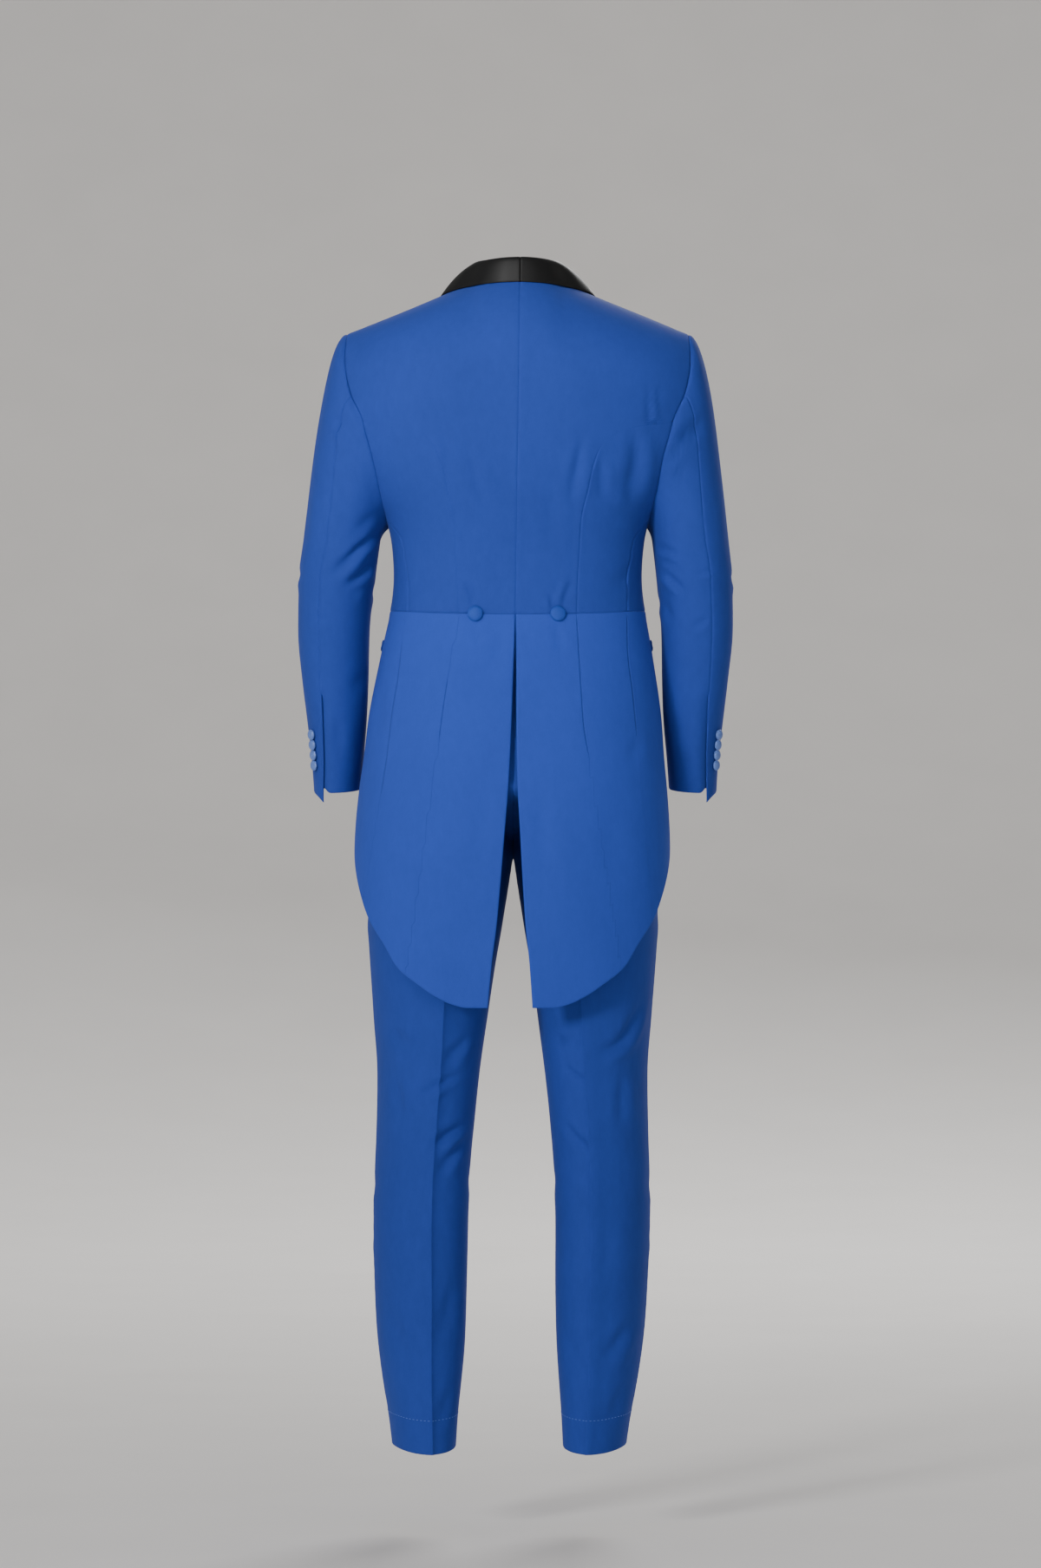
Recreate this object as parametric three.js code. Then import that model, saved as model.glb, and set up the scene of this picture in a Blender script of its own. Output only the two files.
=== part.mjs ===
// Evening suit in two garments, worn and hollow: a tailcoat with a shawl collar, and trousers.
// Millimetres, +Z up. The front faces -Y and the wearer's left is at +X.
// The origin is the middle of the neck opening, at the height where the shoulders meet the neck.
import * as THREE from 'three';

// Driving sizes of the coat
const SEAM = 0.3;
const CLOTH = 2;
const SATIN = 1.6;
const NECK_SIDE_X = 63.5;
const SHOULDER_TIP_X = 220;
const WAIST_Z = -418;
const WAIST_RISE_AT_SIDE = 6;
const RIDGE_Y = -5;
const ROUNDNESS = 0.87;
const OVERLAP_X = 14;
const ROLL_END_Z = -384;
const SKIRT_FRONT_PHI = 176.5;
const PRINCESS_TOP_Z = -172;
const SIDE_SEAM_TOP_Z = -294;
const ARMHOLE_TOP_Z = -55;
const ARMHOLE_LOW_Z = -305;
const UNDER_LAP_DEPTH = 5.2;
const SEAM_ROWS = 8;
const ROLL_PUFF = 2.2;
const EDGE_PUFF = 0.6;
const RIDGE = { neckReach: 58, topZ: 33, neckDip: 0.0064, neckZ: 11.5, fall: 0.41, tipReach: 220 };
const RIDGE_ROUND = { atNeck: 112, atTip: 70 };
const LAP = { fromX: 60, overX: 46, fromZ: -225, overZ: 85 };
const CENTRE_LEAN = { low: 3, high: -3, topZ: 7, fall: 425 };
const VENT_REACH = 0.22;
const VENT_CHART_PHI = 60;
const SHAWL_SPACE = 0.35;
const STAND_INSET = 0.2;
const FALL_SHARES = [0.035, 0.14, 0.3, 0.48, 0.66, 0.84, 1];
const PANEL_COLUMNS = 12;
const NECK_COLUMNS = 4;
const SKIRT_GRID = { columns: 17, rows: 11 };

// Driving sizes of the sleeves
const BICEP_Z = -322;
const CUFF_Z = -643;
const FORE_SEAM_THETA = -125;
const CAP_SHARE = 0.42;
const ARMHOLE_EASE = 0.3;
const CUFF_TIP_DROP = 8;
const CUFF_TIP_POWER = 8;
const CUFF_TILT = 4;
const CUFF_TILT_THETA = 70;
const HALF_ARMHOLE_DEPTH = 85;
const CAP_LEAVE = 0.3;
const CAP_ARRIVE = { out: 0.13, down: 1.12 };
const UNDERARM_GAP = 0.6;
const CAP_GAP = 0.15;
const SLEEVE_SEAM_THETA = 0.2;
const CUFF_VENT = { theta: 1.6, from: 0.68, over: 0.2 };
const SLEEVE_ROUNDNESS = 0.92;

// Driving sizes of the trousers
const BAND_TOP_Z = -398;
const BAND_LOW_Z = -436;
const FORK_Z = -726;
const FORK_BLEND = 90;
const HEM_Z = -1488;
const THIGH_Z = -810;
const LEG_ROUNDNESS = 0.93;
const CREASE_RIDGE = 3.5;
const CREASE_WIDTH = 9;
const TOE_OUT = 0.12;
const LEG_BLEND = 120;
const SIDE_THETA = 0.15;
const SIDE_PHI = 0.1;
const FLY_LOW_Z = -610;
const FLY_WIDTH = 40;
const FLY_ROUND = { from: 0.72, share: 0.9 };
const FLY_THICK = 1.4;
const FLY_GAP = 0.1;
const BAND_OUT = 0.4;
const BAND_IN = -2.4;

// Driving sizes of the buttons and pockets
const WAIST_BUTTON = { across: 20, thick: 6, x: 52.5, z: -418 };
const FRONT_BUTTON = { across: 20, thick: 6, x: 0.5, z: -401 };
const CUFF_BUTTON = { across: 12.8, thick: 4.6, pitch: 13.2, topZ: -571, theta: 33 };
const HIP_WELT = { backPhi: 86, frontPhi: 131, topZ: -449, high: 12, slope: 10, proud: 1.6 };
const WELT_SPACE = 0.3;
const BUTTON_SPACE = { waist: 0.45, cuff: 0.5, front: 0.6 };
const WAIST_BUTTON_SHIFT = 1.5;
const BUTTON_FOOT = 0.86;
const BUTTON_RIM = 0.35;
const BUTTON_SIDES = 12;

// Coat body: half width, and reach behind and before the shoulder ridge, at each height
const BODY = [
  { z: -930, half: 204, back: 150, front: 142 },
  { z: -720, half: 204, back: 147, front: 142 },
  { z: -690, half: 203, back: 146.5, front: 141 },
  { z: -640, half: 199, back: 145, front: 140 },
  { z: -600, half: 194, back: 143, front: 138 },
  { z: -550, half: 189, back: 138, front: 137 },
  { z: -517, half: 184, back: 132.5, front: 136 },
  { z: -483, half: 178, back: 126, front: 134 },
  { z: -450, half: 172, back: 118, front: 132 },
  { z: -416, half: 165, back: 111, front: 132 },
  { z: -370, half: 160, back: 108, front: 137 },
  { z: -335, half: 162, back: 111, front: 142 },
  { z: -300, half: 168, back: 117, front: 145 },
  { z: -260, half: 194, back: 123, front: 145 },
  { z: -206, half: 227, back: 129, front: 137 },
  { z: -160, half: 239, back: 131, front: 126 },
  { z: -110, half: 241, back: 129, front: 112 },
  { z: -60, half: 240, back: 123, front: 99 },
  { z: 0, half: 240, back: 114, front: 86 },
  { z: 40, half: 240, back: 108, front: 76 },
];

// Armhole edge: angle round the body of its back and front branches, at each height
const ARMHOLE = [
  { z: -305, back: 94, front: 94 },
  { z: -298, back: 84, front: 101 },
  { z: -285, back: 76, front: 107 },
  { z: -265, back: 66, front: 113 },
  { z: -228, back: 56.5, front: 124 },
  { z: -206, back: 54.2, front: 128 },
  { z: -172, back: 54.6, front: 129.5 },
  { z: -134, back: 61.3, front: 126.5 },
  { z: -109, back: 64.4, front: 123 },
  { z: -86, back: 65.9, front: 118.5 },
  { z: -55, back: 64.8, front: 115.2 },
];

// Back and side seams, as the distance from the centre line at each height
const PRINCESS = [
  { z: -418, x: 75.5 },
  { z: -405, x: 75.8 },
  { z: -337, x: 79 },
  { z: -267, x: 88 },
  { z: -227, x: 97 },
  { z: -200, x: 110 },
  { z: -184, x: 134 },
];
const SIDE_SEAM = [
  { z: -412, x: 140 },
  { z: -349, x: 144 },
  { z: -320, x: 150 },
];

// Skirt: height of its cut edge at each angle from the centre back, and half the vent gap
const SKIRT_HEM = [
  { phi: 0, z: -919 },
  { phi: 8, z: -919 },
  { phi: 15, z: -915 },
  { phi: 24, z: -904 },
  { phi: 32, z: -890 },
  { phi: 42, z: -870 },
  { phi: 51, z: -838 },
  { phi: 62, z: -807 },
  { phi: 71, z: -776 },
  { phi: 81, z: -744 },
  { phi: 90, z: -716 },
  { phi: 110, z: -648 },
  { phi: 130, z: -570 },
  { phi: 150, z: -495 },
  { phi: 165, z: -450 },
  { phi: 176.5, z: -427 },
];
const VENT = [
  { z: -919, gap: 28.5, lean: 0 },
  { z: -859, gap: 23.5, lean: 0 },
  { z: -816, gap: 18.5, lean: 0 },
  { z: -759, gap: 14, lean: 0 },
  { z: -697, gap: 9.8, lean: 0 },
  { z: -626, gap: 5.2, lean: 0.3 },
  { z: -554, gap: 3, lean: 1 },
  { z: -469, gap: 1.5, lean: 2 },
  { z: -418, gap: 0.15, lean: 3 },
];

// Sideways drift of the hanging garment at each height, as it is worn
const COAT_DRIFT = [
  { z: -930, x: 10 },
  { z: -640, x: 6 },
  { z: -418, x: 0 },
];
const TROUSER_DRIFT = [
  { z: -1488, x: 11 },
  { z: -1208, x: 8 },
  { z: -1006, x: 7 },
  { z: -640, x: 5.5 },
  { z: -418, x: 0 },
];

// Shawl collar stations from the centre back to its front point.
// neck: where it joins the coat, edge: its outer edge, stand: how high it rises before it turns over
const SHAWL = [
  { rear: true, neckX: 0.15, neckZ: 12, edgeX: 0.15, edgeZ: 7, stand: 26 },
  { rear: true, neckX: 15, neckZ: 11.8, edgeX: 21, edgeZ: 6.6, stand: 26 },
  { rear: true, neckX: 32, neckZ: 11.2, edgeX: 43, edgeZ: 5.2, stand: 25.5 },
  { rear: true, neckX: 47, neckZ: 10.8, edgeX: 66, edgeZ: 2.5, stand: 24.5 },
  { rear: true, neckX: 58, neckZ: 10.2, edgeX: 84, edgeZ: -0.8, stand: 22.5 },
  { rear: true, neckX: 63.4, neckZ: 9.2, edgeX: 96, edgeZ: -4.2, stand: 19 },
  { rear: false, neckX: 62, neckZ: 3, edgeX: 105, edgeZ: -20, stand: 14 },
  { rear: false, neckX: 58, neckZ: -10, edgeX: 111, edgeZ: -45, stand: 9.5 },
  { rear: false, neckX: 52.5, neckZ: -30, edgeX: 117, edgeZ: -75, stand: 5 },
  { rear: false, neckX: 46, neckZ: -58, edgeX: 122, edgeZ: -108, stand: 2 },
  { rear: false, neckX: 39.5, neckZ: -90, edgeX: 125.5, edgeZ: -143, stand: 0.6 },
  { rear: false, neckX: 32, neckZ: -130, edgeX: 127, edgeZ: -181, stand: 0 },
  { rear: false, neckX: 24.5, neckZ: -172, edgeX: 125, edgeZ: -219, stand: 0 },
  { rear: false, neckX: 17, neckZ: -212, edgeX: 118, edgeZ: -257, stand: 0 },
  { rear: false, neckX: 10, neckZ: -252, edgeX: 104, edgeZ: -293, stand: 0 },
  { rear: false, neckX: 3, neckZ: -292, edgeX: 81, edgeZ: -327, stand: 0 },
  { rear: false, neckX: -4.5, neckZ: -332, edgeX: 47, edgeZ: -356, stand: 0 },
  { rear: false, neckX: -10.5, neckZ: -364, edgeX: 14, edgeZ: -377, stand: 0 },
  { rear: false, neckX: -13.8, neckZ: -382, edgeX: -7, edgeZ: -386.5, stand: 0 },
];

// Sleeve below the bicep: outer and inner edge seen from behind, half depth, middle and back seam
const SLEEVE = [
  { z: -660, outer: 261.5, inner: 202, deep: 54, y: -71, hind: 54, drift: 3.5 },
  { z: -637, outer: 262.5, inner: 200, deep: 54, y: -66, hind: 55, drift: 3.5 },
  { z: -603, outer: 264.5, inner: 197, deep: 55, y: -57, hind: 59, drift: 3.5 },
  { z: -553, outer: 270, inner: 192.5, deep: 56.5, y: -44, hind: 63, drift: 3.5 },
  { z: -502, outer: 276, inner: 190.5, deep: 58.5, y: -32, hind: 67, drift: 3.4 },
  { z: -435, outer: 281.5, inner: 188.5, deep: 62, y: -20, hind: 69, drift: 3.2 },
  { z: -368, outer: 280, inner: 181.5, deep: 67, y: -13, hind: 68, drift: 2.8 },
  { z: -322, outer: 275, inner: 175.5, deep: 69.5, y: -11, hind: 71, drift: 2.2 },
];

// Trousers over the hips, at each height
const HIPS = [
  { z: -726, half: 191, back: 126, front: 116 },
  { z: -640, half: 193, back: 141.5, front: 124 },
  { z: -600, half: 190, back: 140.4, front: 127 },
  { z: -560, half: 185, back: 136, front: 126 },
  { z: -500, half: 174.5, back: 125, front: 124 },
  { z: -436, half: 162, back: 111, front: 121 },
  { z: -398, half: 157.5, back: 105, front: 121 },
];

// Trouser leg: outer and inner edge seen from behind, reach behind and before its middle
const LEG = [
  { z: -1488, outer: 150.5, inner: 70, back: 66, front: 72, y: -4 },
  { z: -1443, outer: 156.5, inner: 67.5, back: 68, front: 71, y: -4 },
  { z: -1410, outer: 163, inner: 64.4, back: 70, front: 70, y: -4 },
  { z: -1342, outer: 171.9, inner: 59.3, back: 76, front: 68, y: -4 },
  { z: -1275, outer: 175.8, inner: 57.8, back: 80, front: 67, y: -5 },
  { z: -1208, outer: 178.5, inner: 57.1, back: 80, front: 69, y: -6 },
  { z: -1140, outer: 176.9, inner: 55.5, back: 78, front: 75, y: -7 },
  { z: -1073, outer: 174.8, inner: 50, back: 80, front: 81, y: -7 },
  { z: -1006, outer: 173.5, inner: 43, back: 86, front: 88, y: -6 },
  { z: -939, outer: 178.6, inner: 34, back: 93, front: 97, y: -5 },
  { z: -870, outer: 183.5, inner: 24, back: 101, front: 104, y: -5 },
  { z: -800, outer: 187.5, inner: 12, back: 110, front: 109, y: -5 },
  { z: -726, outer: 190.5, inner: 0.15, back: 122, front: 113, y: -5 },
];

const CLOTHS = {
  wool: { color: 0x2e5ca8, roughness: 0.85, metalness: 0 },
  satin: { color: 0x202022, roughness: 0.35, metalness: 0 },
  coveredButton: { color: 0x3a68b2, roughness: 0.7, metalness: 0 },
  satinButton: { color: 0x6692cf, roughness: 0.4, metalness: 0 },
};

const suit = new THREE.Group();

const radians = (degrees) => degrees * Math.PI / 180;
const degrees = (angle) => angle * 180 / Math.PI;
const mix = (from, to, share) => from + (to - from) * share;
const clamp = (value, low, high) => Math.min(high, Math.max(low, value));

function ease(share) {
  const held = clamp(share, 0, 1);
  return held * held * (3 - 2 * held);
}

// Slope of a table's column at one row, flat at a turning point so that a curve never overshoots
function slopeAt(rows, key, column, index) {
  const gap = (i) => (rows[i + 1][column] - rows[i][column]) / (rows[i + 1][key] - rows[i][key]);
  if (index === 0) return gap(0);
  if (index === rows.length - 1) return gap(rows.length - 2);
  const before = gap(index - 1);
  const after = gap(index);
  return before * after <= 0 ? 0 : 2 * before * after / (before + after);
}

// A table's column read at any place between its rows, on a smooth curve
function read(rows, key, column, place) {
  const held = clamp(place, rows[0][key], rows[rows.length - 1][key]);
  let index = 0;
  while (index < rows.length - 2 && rows[index + 1][key] < held) index += 1;
  const low = rows[index];
  const high = rows[index + 1];
  const span = high[key] - low[key];
  const t = (held - low[key]) / span;
  const startSlope = slopeAt(rows, key, column, index) * span;
  const endSlope = slopeAt(rows, key, column, index + 1) * span;
  const t2 = t * t;
  const t3 = t2 * t;
  return low[column] * (2 * t3 - 3 * t2 + 1) + startSlope * (t3 - 2 * t2 + t)
    + high[column] * (3 * t2 - 2 * t3) + endSlope * (t3 - t2);
}

const bulge = (value, power) => Math.sign(value) * Math.abs(value) ** power;
const bodyWidth = (z) => read(BODY, 'z', 'half', z);

// Angle round the body of a point seen from behind at x, on the rear or the front half
function angleOf(x, z, rear) {
  const share = clamp(x / bodyWidth(z), -1, 1);
  const angle = degrees(Math.asin(bulge(share, 1 / ROUNDNESS)));
  return rear ? angle : 180 - angle;
}

// Height of the shoulder ridge over a distance from the centre line
function ridgeHeight(x) {
  const reach = Math.abs(x);
  if (reach < RIDGE.neckReach) return RIDGE.topZ - RIDGE.neckDip * reach * reach;
  return RIDGE.neckZ - RIDGE.fall * (reach - RIDGE.neckReach);
}

function ridgeRound(x) {
  const share = (Math.abs(x) - RIDGE.neckReach) / (RIDGE.tipReach - RIDGE.neckReach);
  return mix(RIDGE_ROUND.atNeck, RIDGE_ROUND.atTip, clamp(share, 0, 1));
}

// How far the right front lies under the left one, round the front closure
function underLap(side, x, z) {
  if (side > 0) return 0;
  return UNDER_LAP_DEPTH * ease((LAP.fromX - x) / LAP.overX) * ease((LAP.fromZ - z) / LAP.overZ);
}

// A point of the coat's body at an angle from the centre back, moved out of its face by lift
function bodyPoint(side, phi, z, lift = 0) {
  const sine = Math.sin(radians(phi));
  const cosine = Math.cos(radians(phi));
  const rear = cosine >= 0;
  const x = (bodyWidth(z) + lift) * bulge(sine, ROUNDNESS);
  const drop = clamp((ridgeHeight(x) - z) / ridgeRound(x), 0, 1);
  const cap = Math.sqrt(1 - (1 - drop) ** 2);
  const lap = rear ? 0 : underLap(side, x, z);
  const reach = read(BODY, 'z', rear ? 'back' : 'front', z) + lift - lap;
  const out = reach * bulge(Math.abs(cosine), ROUNDNESS) * cap + 0.5 * SEAM * (1 - cap);
  const y = RIDGE_Y + (rear ? out : -out);
  return new THREE.Vector3(side * x + read(COAT_DRIFT, 'z', 'x', z), y, z + lift * (1 - cap));
}

const waistLine = (phi) => WAIST_Z + WAIST_RISE_AT_SIDE * Math.sin(radians(phi)) ** 2;

// A closed wall between two faces, each a function of u and v from 0 to 1
function wallGeometry(columns, rows, outer, inner) {
  const points = [];
  [outer, inner].forEach((face) => {
    for (let j = 0; j <= rows; j += 1) {
      for (let i = 0; i <= columns; i += 1) points.push(face(i / columns, j / rows));
    }
  });
  const layer = (columns + 1) * (rows + 1);
  const at = (face, i, j) => face * layer + j * (columns + 1) + i;
  const triangles = [];
  const quad = (a, b, c, d) => triangles.push(a, b, c, a, c, d);
  for (let j = 0; j < rows; j += 1) {
    for (let i = 0; i < columns; i += 1) {
      quad(at(0, i, j), at(0, i + 1, j), at(0, i + 1, j + 1), at(0, i, j + 1));
      quad(at(1, i, j), at(1, i, j + 1), at(1, i + 1, j + 1), at(1, i + 1, j));
    }
  }
  for (let i = 0; i < columns; i += 1) {
    quad(at(0, i, 0), at(1, i, 0), at(1, i + 1, 0), at(0, i + 1, 0));
    quad(at(0, i, rows), at(0, i + 1, rows), at(1, i + 1, rows), at(1, i, rows));
  }
  for (let j = 0; j < rows; j += 1) {
    quad(at(0, 0, j), at(0, 0, j + 1), at(1, 0, j + 1), at(1, 0, j));
    quad(at(0, columns, j), at(1, columns, j), at(1, columns, j + 1), at(0, columns, j + 1));
  }
  return closedGeometry(points, triangles);
}

// A geometry from points and triangles, turned so that its faces point out
function closedGeometry(points, triangles) {
  let volume = 0;
  for (let k = 0; k < triangles.length; k += 3) {
    const [a, b, c] = [points[triangles[k]], points[triangles[k + 1]], points[triangles[k + 2]]];
    volume += a.dot(b.clone().cross(c));
  }
  const turned = volume > 0 ? triangles : triangles.slice().reverse();
  const geometry = new THREE.BufferGeometry();
  geometry.setFromPoints(points);
  geometry.setIndex(turned);
  geometry.computeVertexNormals();
  return geometry;
}

function addPiece(name, cloth, geometry) {
  const material = new THREE.MeshStandardMaterial(CLOTHS[cloth]);
  const mesh = new THREE.Mesh(geometry, material);
  mesh.name = name;
  suit.add(mesh);
  return mesh;
}

// A smooth edge through marks of angle and height, as a function of its length from 0 to 1
function edge(marks) {
  const stretch = 3;
  const points = marks.map((mark) => new THREE.Vector3(mark.phi * stretch, mark.z, 0));
  const curve = new THREE.CatmullRomCurve3(points, false, 'centripetal');
  return (t) => {
    const point = curve.getPointAt(clamp(t, 0, 1));
    return { phi: point.x / stretch, z: point.y };
  };
}

// Two edges run together, the first up to the share where they meet
function joined(first, second, meet) {
  return (t) => (t < meet ? first(t / meet) : second((t - meet) / (1 - meet)));
}

// A panel of the coat's body between four edges
function bodyPanel(name, side, grid, edges) {
  const { bottom, top, start, end } = edges;
  const corner = [start(0), end(0), start(1), end(1)];
  const blend = (u, v, key) => mix(bottom(u)[key], top(u)[key], v) + mix(start(v)[key], end(v)[key], u)
    - mix(mix(corner[0][key], corner[1][key], u), mix(corner[2][key], corner[3][key], u), v);
  const face = (lift) => (u, v) => bodyPoint(side, blend(u, v, 'phi'), blend(u, v, 'z'), lift);
  addPiece(name, 'wool', wallGeometry(grid.columns, grid.rows, face(0), face(-CLOTH)));
}

const halfSeam = 0.5 * SEAM;
const HALF_SEAM_ANGLE = 0.06;
const leanShare = (z) => clamp((CENTRE_LEAN.topZ - z) / CENTRE_LEAN.fall, 0, 1);
const centreLean = (z) => mix(CENTRE_LEAN.high, CENTRE_LEAN.low, leanShare(z));
const backArmhole = (z) => ({ phi: read(ARMHOLE, 'z', 'back', z), z });
const frontArmhole = (z) => ({ phi: read(ARMHOLE, 'z', 'front', z), z });
const shift = (mark, angle) => ({ phi: mark.phi + angle, z: mark.z });

function marksBetween(count, at) {
  return Array.from({ length: count + 1 }, (_, k) => at(k / count));
}

// Waist edge of an upper panel between two angles
function waistEdge(from, to) {
  return (u) => {
    const phi = mix(from, to, u);
    return { phi, z: waistLine(phi) + halfSeam };
  };
}

function princessMarks(sideways) {
  const marks = PRINCESS.map((row) => ({ phi: angleOf(row.x + sideways, row.z, true), z: row.z }));
  marks[0].z = waistLine(marks[0].phi) + halfSeam;
  marks.push(backArmhole(PRINCESS_TOP_Z));
  return marks;
}

function sideSeamMarks(sideways) {
  const marks = SIDE_SEAM.map((row) => ({ phi: angleOf(row.x, row.z, true) + sideways, z: row.z }));
  marks[0].z = waistLine(marks[0].phi) + halfSeam;
  marks.push(shift(backArmhole(SIDE_SEAM_TOP_Z), sideways));
  return marks;
}

// Shoulder seam from the neck to the tip, or along its share from one to the other
function shoulderMark(t, rear) {
  const x = mix(NECK_SIDE_X, SHOULDER_TIP_X, t);
  const z = ridgeHeight(x);
  return { phi: angleOf(x, z, rear), z };
}

// The coat's neck edge, behind or in front, where the shawl is joined to it
function neckMarksOf(rear) {
  const rows = SHAWL.filter((row) => row.rear === rear);
  return rows.map((row) => ({ phi: angleOf(row.neckX, row.neckZ, rear), z: row.neckZ }));
}

function buildBack(side) {
  const lean = (z) => side * centreLean(z) + halfSeam;
  const neckMarks = neckMarksOf(true);
  const neckZ = SHAWL[0].neckZ;
  neckMarks[0] = { phi: angleOf(lean(neckZ), neckZ, true), z: neckZ };
  neckMarks[neckMarks.length - 1] = shoulderMark(0, true);
  const princess = edge(princessMarks(-halfSeam));
  const armhole = edge(marksBetween(6, (t) => backArmhole(mix(PRINCESS_TOP_Z, ARMHOLE_TOP_Z, t))));
  const rows = SEAM_ROWS + 6;
  const end = joined(princess, armhole, SEAM_ROWS / rows);
  const meet = SEAM_ROWS / rows;
  const startX = (t) => {
    const z = t < meet ? mix(WAIST_Z + halfSeam, end(t).z, clamp(3 * t / meet, 0, 1))
      : mix(PRINCESS_TOP_Z, neckZ, (t - meet) / (1 - meet));
    return { phi: angleOf(lean(z), z, true), z };
  };
  bodyPanel(`back_${sideName(side)}`, side, { columns: PANEL_COLUMNS, rows }, {
    bottom: waistEdge(startX(0).phi, end(0).phi),
    top: joined(edge(neckMarks), (t) => shoulderMark(t, true), NECK_COLUMNS / PANEL_COLUMNS),
    start: startX,
    end,
  });
}

function buildSideBody(side) {
  const start = edge(princessMarks(halfSeam));
  const end = edge(sideSeamMarks(-HALF_SEAM_ANGLE));
  const armhole = edge(marksBetween(6, (t) => backArmhole(mix(PRINCESS_TOP_Z, SIDE_SEAM_TOP_Z, t))));
  bodyPanel(`side_body_${sideName(side)}`, side, { columns: 6, rows: SEAM_ROWS }, {
    bottom: waistEdge(start(0).phi, end(0).phi),
    top: armhole,
    start,
    end,
  });
}

function buildFront(side) {
  const seam = edge(sideSeamMarks(HALF_SEAM_ANGLE));
  const lowArmhole = marksBetween(2, (t) => backArmhole(mix(SIDE_SEAM_TOP_Z, ARMHOLE_LOW_Z, t)));
  lowArmhole[0] = seam(1);
  const highArmhole = marksBetween(12, (t) => frontArmhole(mix(ARMHOLE_LOW_Z, ARMHOLE_TOP_Z, t)));
  highArmhole[highArmhole.length - 1] = shoulderMark(1, false);
  const rows = SEAM_ROWS + 14;
  const start = joined(seam, edge([...lowArmhole, ...highArmhole.slice(1)]), SEAM_ROWS / rows);
  const neckMarks = neckMarksOf(false);
  const foot = { phi: angleOf(-OVERLAP_X, WAIST_Z, false), z: WAIST_Z + halfSeam };
  const marks = [foot, { phi: angleOf(-OVERLAP_X, ROLL_END_Z, false), z: ROLL_END_Z }];
  marks.push(...neckMarks.slice(0, -1).reverse(), shoulderMark(0, false));
  const end = edge(marks);
  bodyPanel(`front_${sideName(side)}`, side, { columns: PANEL_COLUMNS, rows }, {
    bottom: waistEdge(start(0).phi, foot.phi),
    top: (u) => shoulderMark(1 - u, false),
    start,
    end,
  });
}

// The skirt hangs from the waist seam, opens at the vent and is cut away to the front
function skirtPoint(side, u, v, lift) {
  const nominal = mix(0, SKIRT_FRONT_PHI, u);
  const z = mix(waistLine(nominal) - halfSeam, read(SKIRT_HEM, 'phi', 'z', nominal), v);
  const fade = clamp(1 - u / VENT_REACH, 0, 1) ** 2;
  const away = (read(VENT, 'z', 'gap', z) + side * read(VENT, 'z', 'lean', z)) * fade;
  const x = bodyWidth(z) * bulge(Math.sin(radians(nominal)), ROUNDNESS) + away;
  const phi = nominal < VENT_CHART_PHI ? angleOf(x, z, true) : nominal;
  return bodyPoint(side, phi, z, lift);
}

function buildSkirt(side) {
  const face = (lift) => (u, v) => skirtPoint(side, u, v, lift);
  const { columns, rows } = SKIRT_GRID;
  addPiece(`skirt_${sideName(side)}`, 'wool', wallGeometry(columns, rows, face(0), face(-CLOTH)));
}

// The shawl's middle surface across one station: up the stand, round the roll and down to its edge
function shawlSection(side, station) {
  const markAt = (t) => {
    const x = mix(station.neckX, station.edgeX, t);
    const z = Math.min(mix(station.neckZ, station.edgeZ, t), ridgeHeight(x));
    return { phi: angleOf(x, z, station.rear), z };
  };
  const over = SEAM + 0.5 * SATIN + SHAWL_SPACE;
  const soft = ease((station.neckX - 2) / 30) * ease(station.edgeZ / -30);
  const at = (t, lift) => bodyPoint(side, markAt(t).phi, markAt(t).z, lift);
  const neck = at(0, 0);
  const inward = neck.clone().sub(at(1, 0)).normalize();
  const up = new THREE.Vector3(0, 0, 1);
  const standFoot = at(0, -CLOTH + STAND_INSET).addScaledVector(inward, over);
  const top = at(0, over).addScaledVector(inward, over * 0.6).addScaledVector(up, station.stand + 0.5);
  const points = [standFoot, standFoot.clone().lerp(top, 0.5), standFoot.clone().lerp(top, 0.86), top];
  FALL_SHARES.forEach((t) => {
    const lift = over + soft * mix(ROLL_PUFF, EDGE_PUFF, t);
    points.push(at(t, lift).addScaledVector(up, station.stand * (1 - t * t)));
  });
  return points;
}

// A station of the shawl at a whole or part count along its table
function shawlStation(place) {
  const rows = SHAWL.map((row, count) => ({ ...row, count }));
  const station = { rear: SHAWL[Math.floor(place)].rear };
  ['neckX', 'neckZ', 'edgeX', 'edgeZ', 'stand'].forEach((column) => {
    station[column] = read(rows, 'count', column, place);
  });
  return station;
}

function buildShawl(side) {
  const lean = side * centreLean(SHAWL[0].neckZ) + halfSeam;
  const stations = [];
  SHAWL.slice(0, -1).forEach((row, k) => {
    const parts = row.rear ? 1 : 2;
    for (let part = 0; part < parts; part += 1) stations.push(shawlStation(k + part / parts));
  });
  stations.push(shawlStation(SHAWL.length - 1));
  stations[0].neckX = lean;
  stations[0].edgeX = lean;
  const sections = stations.map((station) => shawlSection(side, station));
  const columns = sections[0].length - 1;
  const rows = sections.length - 1;
  const normalAt = (i, j) => {
    const alongSection = sections[j][Math.min(columns, i + 1)].clone().sub(sections[j][Math.max(0, i - 1)]);
    const alongCollar = sections[Math.min(rows, j + 1)][i].clone().sub(sections[Math.max(0, j - 1)][i]);
    if (j === 0) alongCollar.set(side, 0, 0);
    return alongCollar.cross(alongSection).normalize();
  };
  const face = (lift) => (u, v) => {
    const i = Math.round(u * columns);
    const j = Math.round(v * rows);
    return sections[j][i].clone().addScaledVector(normalAt(i, j), lift);
  };
  const geometry = wallGeometry(columns, rows, face(0.5 * SATIN), face(-0.5 * SATIN));
  addPiece(`shawl_${sideName(side)}`, 'satin', geometry);
}

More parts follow.
